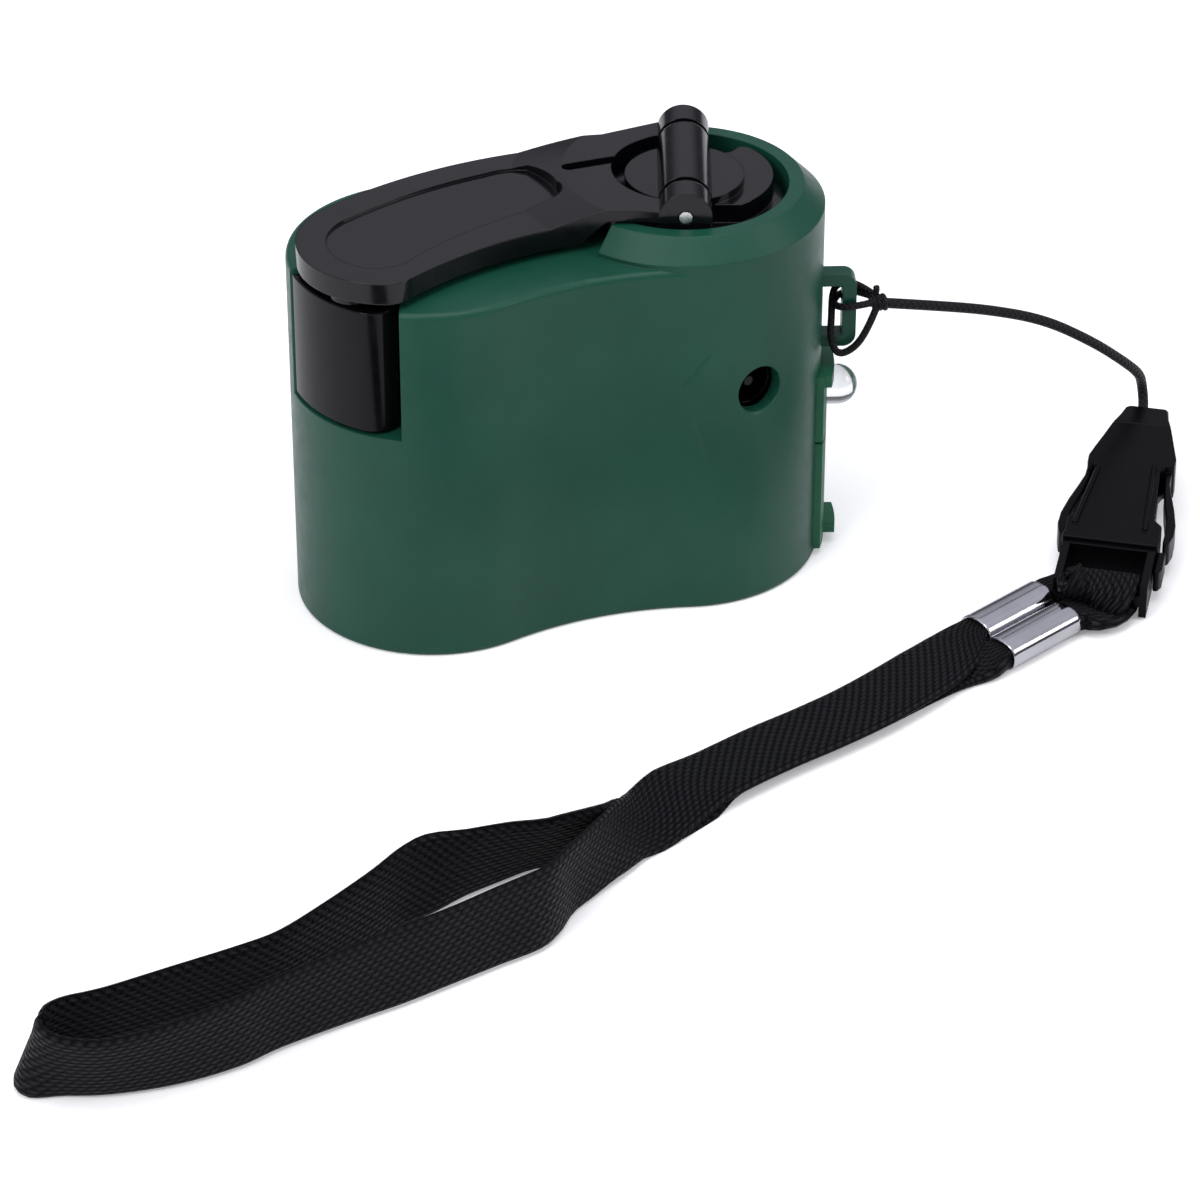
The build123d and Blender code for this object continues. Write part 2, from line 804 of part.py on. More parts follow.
coil_middle = (stator_radius - stator_ring + pole_tip) / 2
with BuildPart() as stator_coils:
    with BuildSketch(Plane.XY.offset(stator_bottom - coil_thickness)):
        with Locations(rotor):
            with PolarLocations(coil_middle, stator_poles):
                Rectangle(coil_reach, pole_width + 2 * coil_thickness)
    extrude(amount=stator_height + 2 * coil_thickness)
    with BuildSketch(Plane.XY.offset(stator_bottom - 0.02)):
        with Locations(rotor):
            with PolarLocations(coil_middle, stator_poles):
                Rectangle(2 * coil_reach, pole_width + 0.04)
    extrude(amount=stator_height + 0.04, mode=Mode.SUBTRACT)
stator_coils.part.label = "stator_coils"
export_step(stator_coils.part, "parts/stator_coils.step")

# ---------------------------------------------------------------- circuit board, port, lamp, jack
with BuildPart() as circuit_board:
    with BuildSketch(end_top.offset(board_bottom)):
        with Locations((board_offset, 0)):
            Rectangle(board_thickness, board_width)
    extrude(amount=board_top - board_bottom)
circuit_board.part.label = "circuit_board"
export_step(circuit_board.part, "parts/circuit_board.step")

with BuildPart() as board_parts:
    with BuildSketch(end_top.offset(board_top - 8)):
        with Locations((board_offset - board_thickness / 2 - 1, -3)):
            Rectangle(2, 4.4)
    extrude(amount=5)
    with BuildSketch(end_top.offset(board_bottom + 3)):
        with Locations((board_offset - board_thickness / 2 - 2.6, 3.4)):
            Circle(2.5)
    extrude(amount=8)
board_parts.part.label = "board_parts"
export_step(board_parts.part, "parts/board_parts.step")

port_start = board_offset + board_thickness / 2
port_end = lobe_radius - cover_sunk - port_sink
with BuildPart() as usb_shell:
    with BuildSketch(wall_plane(end_angle, port_middle, port_start)):
        Rectangle(port_width, port_height)
    extrude(amount=port_end - port_start)
    with BuildSketch(wall_plane(end_angle, port_middle, port_start + 1)):
        Rectangle(port_width - 2 * port_shell, port_height - 2 * port_shell)
    extrude(amount=port_end, mode=Mode.SUBTRACT)
usb_shell.part.label = "usb_shell"
export_step(usb_shell.part, "parts/usb_shell.step")

with BuildPart() as usb_tongue:
    with BuildSketch(wall_plane(end_angle, port_middle, port_start + 1.02)):
        Rectangle(port_width - 2 * port_shell - 0.04, port_height - 2 * port_shell - 0.04)
    extrude(amount=port_end - port_start - tongue_length - 1.6)
    with BuildSketch(wall_plane(end_angle, port_middle, port_end - tongue_length - 1)):
        with Locations((-tongue_offset, 0)):
            Rectangle(tongue_thickness, tongue_width)
    extrude(amount=tongue_length)
usb_tongue.part.label = "usb_tongue"
export_step(usb_tongue.part, "parts/usb_tongue.step")

lamp_start = lobe_radius + lamp_reach - lamp_length
board_face = board_offset + board_thickness / 2
with BuildPart() as led_lamp:
    with BuildSketch(wall_plane(end_angle, lamp_height, lamp_start)):
        Circle(lamp_radius)
    extrude(amount=lamp_length - lamp_radius)
    with Locations(wall_plane(end_angle, lamp_height, lamp_start + lamp_length - lamp_radius).location):
        Sphere(lamp_radius)
    with BuildSketch(wall_plane(end_angle, lamp_height, board_face)):
        with GridLocations(lamp_pitch, 0, 2, 1):
            Rectangle(lamp_lead, lamp_lead)
    extrude(amount=lamp_start - board_face)
led_lamp.part.label = "led_lamp"
export_step(led_lamp.part, "parts/led_lamp.step")

jack_face = sqrt((cavity_radius - 0.25) ** 2 - (jack_body / 2) ** 2)
with BuildPart() as dc_jack:
    with BuildSketch(jack_top.offset(plate_top)):
        with Locations((jack_face - jack_depth / 2, 0)):
            Rectangle(jack_depth, jack_body)
    extrude(amount=jack_height + jack_body / 2 - plate_top)
    with BuildSketch(wall_plane(jack_angle, jack_height, jack_face - jack_depth + jack_back)):
        Circle(jack_radius - jack_shell)
        Circle(jack_pin_radius, mode=Mode.SUBTRACT)
    extrude(amount=jack_depth, mode=Mode.SUBTRACT)
dc_jack.part.label = "dc_jack"
export_step(dc_jack.part, "parts/dc_jack.step")

# ---------------------------------------------------------------- rubber port cover
cover_inner = lobe_radius - cover_sunk + 0.05
cover_outer = cover_inner + cover_thickness
with BuildPart() as cover_strip:
    with BuildSketch(end_top.offset(cover_fold + cover_gap)):
        add(end_strip(cover_inner, cover_outer, cover_width))
    extrude(amount=cover_top - cover_fold - cover_gap)
    with BuildSketch(end_top.offset(cover_top - cover_brow)):
        add(end_strip(cover_inner, cover_outer + cover_brow_reach, cover_width - 1))
    extrude(amount=cover_brow)
    with BuildSketch(wall_plane(end_angle, lamp_height, cavity_radius)):
        Circle(lamp_radius + port_room)
    extrude(amount=wall + 4, mode=Mode.SUBTRACT)
cover_strip.part.label = "cover_strip"
export_step(cover_strip.part, "parts/cover_strip.step")

with BuildPart() as port_cover:
    with BuildSketch(end_top.offset(cover_bottom)):
        add(end_strip(cover_inner, cover_outer, cover_width))
    extrude(amount=cover_fold - cover_gap - cover_bottom)
    fillet(port_cover.edges().filter_by(Axis.Z).group_by(Axis.X)[-1], 0.3)
    with BuildSketch(end_top.offset(cover_bottom + 0.6)):
        add(end_strip(cover_outer - 0.3, cover_outer + cover_nub, cover_nub_width))
    extrude(amount=cover_nub)
port_cover.part.label = "port_cover"
export_step(port_cover.part, "parts/port_cover.step")

# ---------------------------------------------------------------- crank hub, shaft, pin
pin_axis = Plane(
    origin=(hub_x, 0, pin_height),
    x_dir=(-cos(radians(hinge_angle)), sin(radians(hinge_angle)), 0),
    z_dir=(-sin(radians(hinge_angle)), -cos(radians(hinge_angle)), 0),
)
knuckle_start = hub_knuckle_length / 2 + 2 * hinge_gap + washer_thickness
prong_bottom = pin_height - prong_thickness / 2
rest_top = prong_bottom - arm_rest_gap

with BuildPart() as crank_hub:
    with BuildSketch(hinge_plane.offset(hub_disc_top - hub_disc_thickness)):
        Circle(hub_disc_radius)
    extrude(amount=hub_disc_thickness)
    with BuildSketch(hinge_plane.offset(hub_disc_top)):
        Circle(hub_cap_radius)
    extrude(amount=hub_cap_top - hub_disc_top)
    # the raised rest under the unfolded arm, with a lobe at its back
    with BuildSketch(hinge_plane.offset(hub_disc_top)):
        with BuildLine():
            shoulder_end = (hub_shoulder, hub_rest_front)
            Line((0, hub_rest_front), shoulder_end)
            ThreePointArc(shoulder_end, (-hub_rest_reach, hub_rest_lean), hub_ear_corner)
            Spline(
                hub_ear_corner,
                (hub_ear_bend, -hub_rest_ear),
                (hub_back_start, -hub_rest_back),
                tangents=[(0.7, -0.7), (1, 0)],
            )
            Polyline((hub_back_start, -hub_rest_back), (0, -hub_rest_back), (0, hub_rest_front))
        make_face()
    extrude(amount=rest_top - hub_disc_top)
    with BuildSketch(pin_axis.offset(-hub_knuckle_length / 2)):
        Circle(knuckle_radius)
        Rectangle(2 * knuckle_radius, pin_height - hub_disc_top, align=(Align.CENTER, Align.MIN))
    extrude(amount=hub_knuckle_length)
    with BuildSketch(pin_axis.offset(-hub_knuckle_length / 2)):
        Circle(pin_radius)
    extrude(amount=hub_knuckle_length, mode=Mode.SUBTRACT)
    with BuildSketch(Plane.XY.offset(hub_disc_top - hub_disc_thickness)):
        with Locations((hub_x, 0)):
            Circle(crank_shaft_radius)
    extrude(amount=shaft_grip, mode=Mode.SUBTRACT)
crank_hub.part.label = "crank_hub"
export_step(crank_hub.part, "parts/crank_hub.step")

with BuildPart() as crank_shaft:
    with BuildSketch(Plane.XY.offset(drive_level)):
        with Locations((hub_x, 0)):
            Circle(crank_shaft_radius - 0.02)
    extrude(amount=hub_disc_top - hub_disc_thickness + shaft_grip - drive_level)
    with BuildSketch(Plane.XY.offset(drive_level)):
        with Locations((hub_x, 0)):
            Circle(screw_radius)
    extrude(amount=shaft_screw_length, mode=Mode.SUBTRACT)
crank_shaft.part.label = "crank_shaft"
export_step(crank_shaft.part, "parts/crank_shaft.step")

with BuildPart() as shaft_bush:
    with BuildSketch(Plane.XY.offset(well_underside - bush_proud)):
        with Locations((hub_x, 0)):
            Circle(bush_radius - 0.02)
            Circle(crank_shaft_radius + running_clearance, mode=Mode.SUBTRACT)
    extrude(amount=well_floor_thickness + 2 * bush_proud)
shaft_bush.part.label = "shaft_bush"
export_step(shaft_bush.part, "parts/shaft_bush.step")

with BuildPart() as shaft_screw:
    with BuildSketch(Plane.XY.offset(drive_level - shaft_screw_height)):
        with Locations((hub_x, 0)):
            Circle(shaft_screw_head)
    extrude(amount=shaft_screw_height - 0.02)
    with BuildSketch(Plane.XY.offset(drive_level - shaft_screw_height)):
        with Locations((hub_x, 0)):
            Circle(screw_radius - 0.02)
    extrude(amount=shaft_screw_height + shaft_screw_length - 0.5)
shaft_screw.part.label = "shaft_screw"
export_step(shaft_screw.part, "parts/shaft_screw.step")

with BuildPart() as hinge_pin:
    with BuildSketch(pin_axis.offset(-hinge_length / 2 + hinge_gap)):
        Circle(pin_radius - 0.02)
    extrude(amount=hinge_length)
hinge_pin.part.label = "hinge_pin"
export_step(hinge_pin.part, "parts/hinge_pin.step")

with BuildPart() as hinge_washers:
    for start in (hub_knuckle_length / 2 + hinge_gap, -hub_knuckle_length / 2 - hinge_gap - washer_thickness):
        with BuildSketch(pin_axis.offset(start)):
            Circle(washer_radius)
            Circle(pin_radius, mode=Mode.SUBTRACT)
        extrude(amount=washer_thickness)
hinge_washers.part.label = "hinge_washers"
export_step(hinge_washers.part, "parts/hinge_washers.step")

# ---------------------------------------------------------------- crank arm
def hinge_point(side, front):
    """Plan point given by its distance from the pin and its place along the pin."""
    at = hinge_plane.from_local_coords(Vector(side, front, 0))
    return (at.X, at.Y)


prong_end = hinge_length / 2
grip_axle_reach = lobe_radius - grip_axle_wall
grip_middle = (
    lobe_centre[0] + grip_axle_reach * cos(radians(grip_axle_angle)),
    lobe_centre[1] + grip_axle_reach * sin(radians(grip_axle_angle)),
)

with BuildPart() as crank_arm:
    with BuildSketch(Plane.XY.offset(arm_underside)):
        with BuildLine():
            ThreePointArc(arm_tip_back, arm_tip, arm_tip_front)
            ThreePointArc(arm_tip_front, arm_corner, arm_corner_end)
            ThreePointArc(arm_corner_end, arm_front_middle, arm_neck)
            Spline(arm_neck, arm_neck_bend, hinge_point(knuckle_radius, prong_end))
            Line(hinge_point(knuckle_radius, prong_end), hinge_point(0, prong_end))
            Line(hinge_point(0, prong_end), hinge_point(0, -prong_end))
            Line(hinge_point(0, -prong_end), hinge_point(knuckle_radius, -prong_end))
            Line(hinge_point(knuckle_radius, -prong_end), arm_shoulder)
            ThreePointArc(arm_shoulder, arm_back_middle, arm_tip_back)
        make_face()
    extrude(amount=rim_height)
    # height along the arm: thin prongs over the rim, a slope, then the full plate
    with BuildSketch(Plane(origin=(hub_x, 0, 0), x_dir=(1, 0, 0), z_dir=(0, -1, 0))):
        with BuildLine():
            thin_end = lobe_radius - rim_chamfer + arm_clearance
            drop = prong_bottom - arm_underside
            Polyline(
                (0, prong_bottom),
                (thin_end, prong_bottom),
                (thin_end + drop, arm_underside),
                (3 * lobe_radius + lobe_spacing, arm_underside),
                (3 * lobe_radius + lobe_spacing, arm_top),
                (arm_slope_end, arm_top),
                (thin_end, prong_bottom + prong_thickness),
                (0, prong_bottom + prong_thickness),
                close=True,
            )
        make_face()
    revolve(axis=Axis((hub_x, 0, 0), (0, 0, 1)), mode=Mode.INTERSECT)
    with BuildSketch(hinge_plane.offset(arm_underside)):
        Circle(fork_radius)
        Rectangle(2 * (knuckle_radius + arm_clearance), 2 * knuckle_start)
    extrude(amount=rim_height, mode=Mode.SUBTRACT)
    for start in (knuckle_start, -prong_end):
        with BuildSketch(pin_axis.offset(start)):
            Circle(knuckle_radius)
        extrude(amount=prong_end - knuckle_start)
    for start in (knuckle_start, -prong_end):
        with BuildSketch(pin_axis.offset(start)):
            Circle(pin_radius + running_clearance)
        extrude(amount=prong_end - knuckle_start, mode=Mode.SUBTRACT)
    # slot into the fork and the sunk panel along the arm
    with BuildSketch(Plane.XY.offset(arm_underside)):
        with Locations((arm_slot_start[0] + arm_slot_length / 2, arm_slot_start[1])):
            SlotOverall(arm_slot_length, arm_slot_width)
    extrude(amount=rim_height, mode=Mode.SUBTRACT)
    with BuildSketch(Plane.XY.offset(arm_top - arm_panel_depth)):
        with BuildLine():
            for place in range(0, len(arm_panel), 2):
                after = arm_panel[(place + 2) % len(arm_panel)]
                ThreePointArc(arm_panel[place], arm_panel[place + 1], after)
        make_face()
    extrude(amount=rim_height, mode=Mode.SUBTRACT)
    # collar over the grip
    with BuildSketch(hinge_plane.offset(grip_top + grip_collar_gap)):
        with Locations(grip_middle):
            Circle(grip_collar_radius)
            Circle(grip_axle_radius, mode=Mode.SUBTRACT)
    extrude(amount=arm_underside - grip_top - grip_collar_gap)
    with BuildSketch(hinge_plane.offset(arm_underside)):
        with Locations(grip_middle):
            Circle(grip_axle_radius)
    extrude(amount=arm_axle_grip, mode=Mode.SUBTRACT)
crank_arm.part.label = "crank_arm"
export_step(crank_arm.part, "parts/crank_arm.step")

# ---------------------------------------------------------------- grip and its screw
grip_radius = lobe_radius - grip_inset
grip_back = lobe_centre[1] + grip_share * lobe_radius + grip_floor_gap
grip_side = recess_side + grip_clearance
grip_bottom = recess_floor + grip_floor_gap
with BuildPart() as grip:
    with BuildSketch(hinge_plane.offset(grip_bottom)) as grip_plan:
        with Locations(lobe_centre):
            Circle(grip_radius)
        with Locations((grip_side, grip_back)):
            Rectangle(lobe_radius, lobe_radius, align=(Align.MIN, Align.MIN), mode=Mode.INTERSECT)
        fillet(grip_plan.vertices(), grip_corner)
    extrude(amount=grip_top - grip_bottom)
    with BuildSketch(hinge_plane.offset(grip_bottom)):
        with Locations(grip_middle):
            Circle(grip_axle_radius + running_clearance)
    extrude(amount=grip_top - grip_bottom, mode=Mode.SUBTRACT)
    with BuildSketch(hinge_plane.offset(grip_bottom)):
        with Locations(grip_middle):
            Circle(grip_screw_head + cover_gap)
    extrude(amount=grip_sink, mode=Mode.SUBTRACT)
grip.part.label = "grip"
export_step(grip.part, "parts/grip.step")

with BuildPart() as grip_screw:
    with BuildSketch(hinge_plane.offset(grip_bottom + grip_sink - grip_screw_height - 0.1)):
        with Locations(grip_middle):
            Circle(grip_screw_head)
    extrude(amount=grip_screw_height)
    with BuildSketch(hinge_plane.offset(grip_bottom + grip_sink - 0.2)):
        with Locations(grip_middle):
            Circle(grip_axle_radius - 0.02)
    extrude(amount=arm_underside + arm_axle_grip - grip_bottom - grip_sink)
grip_screw.part.label = "grip_screw"
export_step(grip_screw.part, "parts/grip_screw.step")

# ---------------------------------------------------------------- buckle
heading = radians(buckle_heading)
slope = radians(buckle_slope)
buckle_along = (cos(slope) * cos(heading), cos(slope) * sin(heading), sin(slope))
buckle_up = (-sin(slope) * cos(heading), -sin(slope) * sin(heading), cos(slope))
foot_height = buckle_thickness / 2 * cos(slope) + 0.05
buckle_plane = Plane(
    origin=(*buckle_foot, foot_height), x_dir=buckle_along, z_dir=buckle_up
)
half_thick = buckle_thickness / 2
collar_end = socket_start + socket_collar
shoulder = buckle_length - socket_shoulder

with BuildPart() as buckle_socket:
    with BuildSketch(buckle_plane.offset(-half_thick)):
        with BuildLine():
            Polyline(
                (socket_start, -buckle_width / 2),
                (collar_end, -buckle_width / 2),
                (collar_end, -socket_waist / 2),
                (shoulder, -socket_waist / 2),
                (buckle_length, -socket_top_width / 2),
                (buckle_length, socket_top_width / 2),
                (shoulder, socket_waist / 2),
                (collar_end, socket_waist / 2),
                (collar_end, buckle_width / 2),
                (socket_start, buckle_width / 2),
                close=True,
            )
        make_face()
    extrude(amount=buckle_thickness)
    # squeeze wings, rooted at the shoulders and free at their lower ends
    with BuildSketch(buckle_plane.offset(-wing_height / 2)):
        with BuildLine():
            tip = collar_end + wing_tip_gap
            run = shoulder - tip
            bend = shoulder - 0.31 * run
            head = (buckle_length - wing_head, socket_top_width / 2)
            curl = (tip, wing_spread / 2 - wing_curl)
            inner_tip = (tip + 0.03 * run, wing_spread / 2 - wing_width)
            Spline(
                head,
                (shoulder, socket_waist / 2 + wing_ease),
                (bend, socket_waist / 2 + wing_width + wing_step),
                (tip + 0.19 * run, wing_spread / 2),
                curl,
            )
            Line(curl, inner_tip)
            Spline(
                inner_tip,
                (tip + 0.27 * run, wing_spread / 2 - wing_width + wing_step),
                (bend, socket_waist / 2 + wing_slit),
            )
            Line((bend, socket_waist / 2 + wing_slit), (bend, socket_waist / 2 - wing_root))
            Line((bend, socket_waist / 2 - wing_root), head)
        make_face()
        mirror(about=Plane.XZ)
    extrude(amount=wing_height)
    # mouth for the plug, side windows and the hole for the cord
    with BuildSketch(buckle_plane.offset(-plug_tongue_height / 2 - plug_room)):
        with Locations((socket_start, 0)):
            Rectangle(
                2 * plug_reach + 2 * plug_room,
                plug_tongue_width + 2 * plug_room,
            )
    extrude(amount=plug_tongue_height + 2 * plug_room, mode=Mode.SUBTRACT)
    with BuildSketch(buckle_plane.offset(-half_thick)):
        with Locations(
            (window_middle, socket_waist / 2 - window_width / 2 - window_rail),
            (window_middle, -socket_waist / 2 + window_width / 2 + window_rail),
        ):
            SlotOverall(window_length, window_width)
    extrude(amount=buckle_thickness, mode=Mode.SUBTRACT)
    cord_exit = buckle_plane.from_local_coords(Vector(buckle_length - cord_hold, 0, 0))
    with BuildSketch(Plane(origin=cord_exit, z_dir=buckle_along)):
        Circle(cord_diameter / 2)
    extrude(amount=cord_hold + 1, mode=Mode.SUBTRACT)
buckle_socket.part.label = "buckle_socket"
export_step(buckle_socket.part, "parts/buckle_socket.step")

with BuildPart() as buckle_plug:
    with BuildSketch(buckle_plane.offset(-plug_frame_height / 2)):
        Rectangle(socket_start - plug_gap, plug_frame_width, align=(Align.MIN, Align.CENTER))
        with Locations((plug_bar_width, 0)):
            Rectangle(
                plug_window_length,
                plug_window_width,
                align=(Align.MIN, Align.CENTER),
                mode=Mode.SUBTRACT,
            )
    extrude(amount=plug_frame_height)
    for level in (-plug_frame_height / 2, plug_bar_height / 2):
        with BuildSketch(buckle_plane.offset(level)):
            Rectangle(2 * plug_bar_width, plug_window_width)
        extrude(amount=(plug_frame_height - plug_bar_height) / 2, mode=Mode.SUBTRACT)
    with BuildSketch(buckle_plane.offset(-plug_tongue_height / 2)):
        with Locations((socket_start - 1, 0)):
            Rectangle(plug_reach, plug_tongue_width, align=(Align.MIN, Align.CENTER))
    extrude(amount=plug_tongue_height)
buckle_plug.part.label = "buckle_plug"
export_step(buckle_plug.part, "parts/buckle_plug.step")

# ---------------------------------------------------------------- crimp tubes and webbing
crimp_turn = radians(crimp_heading)
crimp_along = Vector(cos(crimp_turn), sin(crimp_turn), 0)
crimp_side = Vector(-sin(crimp_turn), cos(crimp_turn), 0)
crimp_planes = [
    Plane(
        origin=(x, y, crimp_height / 2),
        x_dir=crimp_side,
        z_dir=crimp_along,
    )
    for x, y in crimp_starts
]
with BuildPart() as crimp_tubes:
    for place in crimp_planes:
        with BuildSketch(place):
            RectangleRounded(crimp_width, crimp_height, crimp_round)
            RectangleRounded(
                crimp_width - 2 * crimp_wall,
                crimp_height - 2 * crimp_wall,
                crimp_round - crimp_wall,
                mode=Mode.SUBTRACT,
            )
        extrude(amount=crimp_length)
crimp_tubes.part.label = "crimp_tubes"
export_step(crimp_tubes.part, "parts/crimp_tubes.step")


def strap_section(x, y, direction, width, thickness, lean):
    """A section across the strap, leaning from flat to standing on its edge."""
    turn = radians(lean)
    ahead = direction.normalized()
    across = Vector(0, 0, 1).cross(ahead)
    height = width / 2 * sin(turn) + thickness / 2 * cos(turn) + webbing_lift
    return Plane(
        origin=(x, y, height),
        x_dir=across * cos(turn) - Vector(0, 0, 1) * sin(turn),
        z_dir=ahead,
    )


def headings(points):
    """The direction of a run of plan points at each of them."""
    before = [points[0]] + points[:-1]
    after = points[1:] + [points[-1]]
    return [Vector(b[0] - a[0], b[1] - a[1], 0) for a, b in zip(before, after)]


bar_room = plug_bar_height / 2 + 0.05
with BuildPart() as webbing:
    # wrapped round the end bar of the plug
    with BuildSketch(Plane(
        origin=buckle_plane.from_local_coords(Vector(0, -plug_window_width / 2 + 0.1, 0)),
        x_dir=buckle_plane.x_dir,
        z_dir=buckle_plane.y_dir,
    )):
        with Locations((plug_bar_width / 2, 0)):
            Rectangle(
                plug_bar_width + 0.1 + 2 * webbing_thickness,
                2 * bar_room + 2 * webbing_thickness,
            )
            Rectangle(plug_bar_width + 0.1, 2 * bar_room, mode=Mode.SUBTRACT)
    extrude(amount=plug_window_width - 0.2)
    # gathered between the wrap and the tubes
    half = plug_window_width / 2 - 0.2
    front = buckle_plane.from_local_coords(Vector(-webbing_thickness + 0.25, -half, 0))
    back = buckle_plane.from_local_coords(Vector(-webbing_thickness + 0.25, half, 0))
    corners = [
        place.from_local_coords(Vector(side * crimp_fill[0] / 2, 0, -lead))
        for place, side, lead in (
            (crimp_planes[1], 1, crimp_lead),
            (crimp_planes[1], -1, crimp_lead_inside),
            (crimp_planes[0], 1, crimp_lead_inside),
            (crimp_planes[0], -1, crimp_lead),
        )
    ]
    with BuildSketch(Plane.XY.offset((crimp_height - crimp_fill[1]) / 2)):
        with BuildLine():
            Polyline(*[(p.X, p.Y) for p in (front, *corners, back)], close=True)
        make_face()
    extrude(amount=crimp_fill[1])
    for place in crimp_planes:
        with BuildSketch(place.offset(-crimp_lead)):
            Rectangle(*crimp_fill)
        extrude(amount=crimp_length + crimp_lead + crimp_tail)
    # flat doubled strap fanning out from the tubes
    for (x, y, width), direction in zip(strap_sections, headings(strap_sections)):
        with BuildSketch(strap_section(x, y, direction, width, 2 * webbing_thickness, 0)):
            Rectangle(width, 2 * webbing_thickness)
    loft(ruled=True)
    # each strand turns onto its edge
    for twist in (rear_twist, front_twist):
        for (x, y, width, lean), direction in zip(twist, headings(twist)):
            with BuildSketch(strap_section(x, y, direction, width, webbing_thickness, lean)):
                Rectangle(width, webbing_thickness)
        loft(ruled=True)
    # wrist loop standing on its edge
    loop_points = [(x, y, webbing_width / 2 + webbing_lift) for x, y in wrist_loop]
    with BuildLine() as loop_path:
        FilletPolyline(*loop_points, radius=bend_radii(loop_points))
    with BuildSketch(Plane(
        origin=loop_path.line @ 0,
        x_dir=(0, 0, 1),
        z_dir=loop_path.line % 0,
    )):
        Rectangle(webbing_width, webbing_thickness)
    sweep(path=loop_path.line)
webbing.part.label = "webbing"
export_step(webbing.part, "parts/webbing.step")
print("wrist loop", loop_path.wires()[0].length)

# ---------------------------------------------------------------- cord, loops and knot
def end_point(out, across, height):
    """A point given by its distance out of the hub towards the end, and across it."""
    return (
        hub_x + out * end_x - across * end_y,
        out * end_y + across * end_x,
        height,
    )


with BuildPart() as cord_knot:
    with Locations(end_point(*knot_place)):
        Sphere(knot_radius)
    for loop in (upper_loop, lower_loop):
        route = [end_point(*point) for point in loop]
        with BuildLine() as strand:
            FilletPolyline(*route, radius=bend_radii(route))
        with BuildSketch(Plane(origin=strand.line @ 0, z_dir=strand.line % 0)):
            Circle(loop_diameter / 2)
        sweep(path=strand.line)
        print("loop radii", [round(radius, 2) for radius in bend_radii(route)])
cord_knot.part.label = "cord_knot"
export_step(cord_knot.part, "parts/cord_knot.step")

cord_start = buckle_plane.from_local_coords(Vector(buckle_length - cord_hold, 0, 0))
cord_turn = buckle_plane.from_local_coords(Vector(buckle_length + 1.4, 0, 0))
cord_points = [tuple(cord_start), tuple(cord_turn), *cord_bends]
cord_radii = bend_radii(cord_points)
with BuildPart() as lanyard_cord:
    with BuildLine() as cord_path:
        FilletPolyline(*cord_points, radius=cord_radii)
    with BuildSketch(Plane(origin=cord_path.line @ 0, z_dir=cord_path.line % 0)):
        Circle(cord_diameter / 2)
    sweep(path=cord_path.line)
lanyard_cord.part.label = "lanyard_cord"
export_step(lanyard_cord.part, "parts/lanyard_cord.step")
print("cord radii", [round(radius, 1) for radius in cord_radii])
section = pi * (cord_diameter / 2) ** 2
print("cord volume", lanyard_cord.part.volume, "section times length", section * cord_path.wires()[0].length)
print("cord length", cord_path.wires()[0].length)
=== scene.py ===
import bpy
import bmesh
from math import cos, pi, radians, sin
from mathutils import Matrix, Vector


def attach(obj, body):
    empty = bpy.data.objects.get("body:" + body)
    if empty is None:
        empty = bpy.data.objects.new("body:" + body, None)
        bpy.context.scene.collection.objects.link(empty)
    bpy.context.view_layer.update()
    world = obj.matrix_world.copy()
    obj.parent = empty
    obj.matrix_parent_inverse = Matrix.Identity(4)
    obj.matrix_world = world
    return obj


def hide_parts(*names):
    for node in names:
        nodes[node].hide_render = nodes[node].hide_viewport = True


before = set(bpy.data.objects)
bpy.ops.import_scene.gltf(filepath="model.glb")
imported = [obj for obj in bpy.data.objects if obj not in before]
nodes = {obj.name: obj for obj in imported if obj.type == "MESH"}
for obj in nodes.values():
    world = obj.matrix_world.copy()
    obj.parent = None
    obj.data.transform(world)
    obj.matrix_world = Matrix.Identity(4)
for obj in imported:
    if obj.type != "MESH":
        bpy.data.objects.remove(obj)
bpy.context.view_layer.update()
scene = bpy.context.scene


# ------------------------------------------------------------------ materials
def linear(value):
    value /= 255
    return value / 12.92 if value <= 0.04045 else ((value + 0.055) / 1.055) ** 2.4


def colour(red, green, blue):
    return (linear(red), linear(green), linear(blue), 1.0)


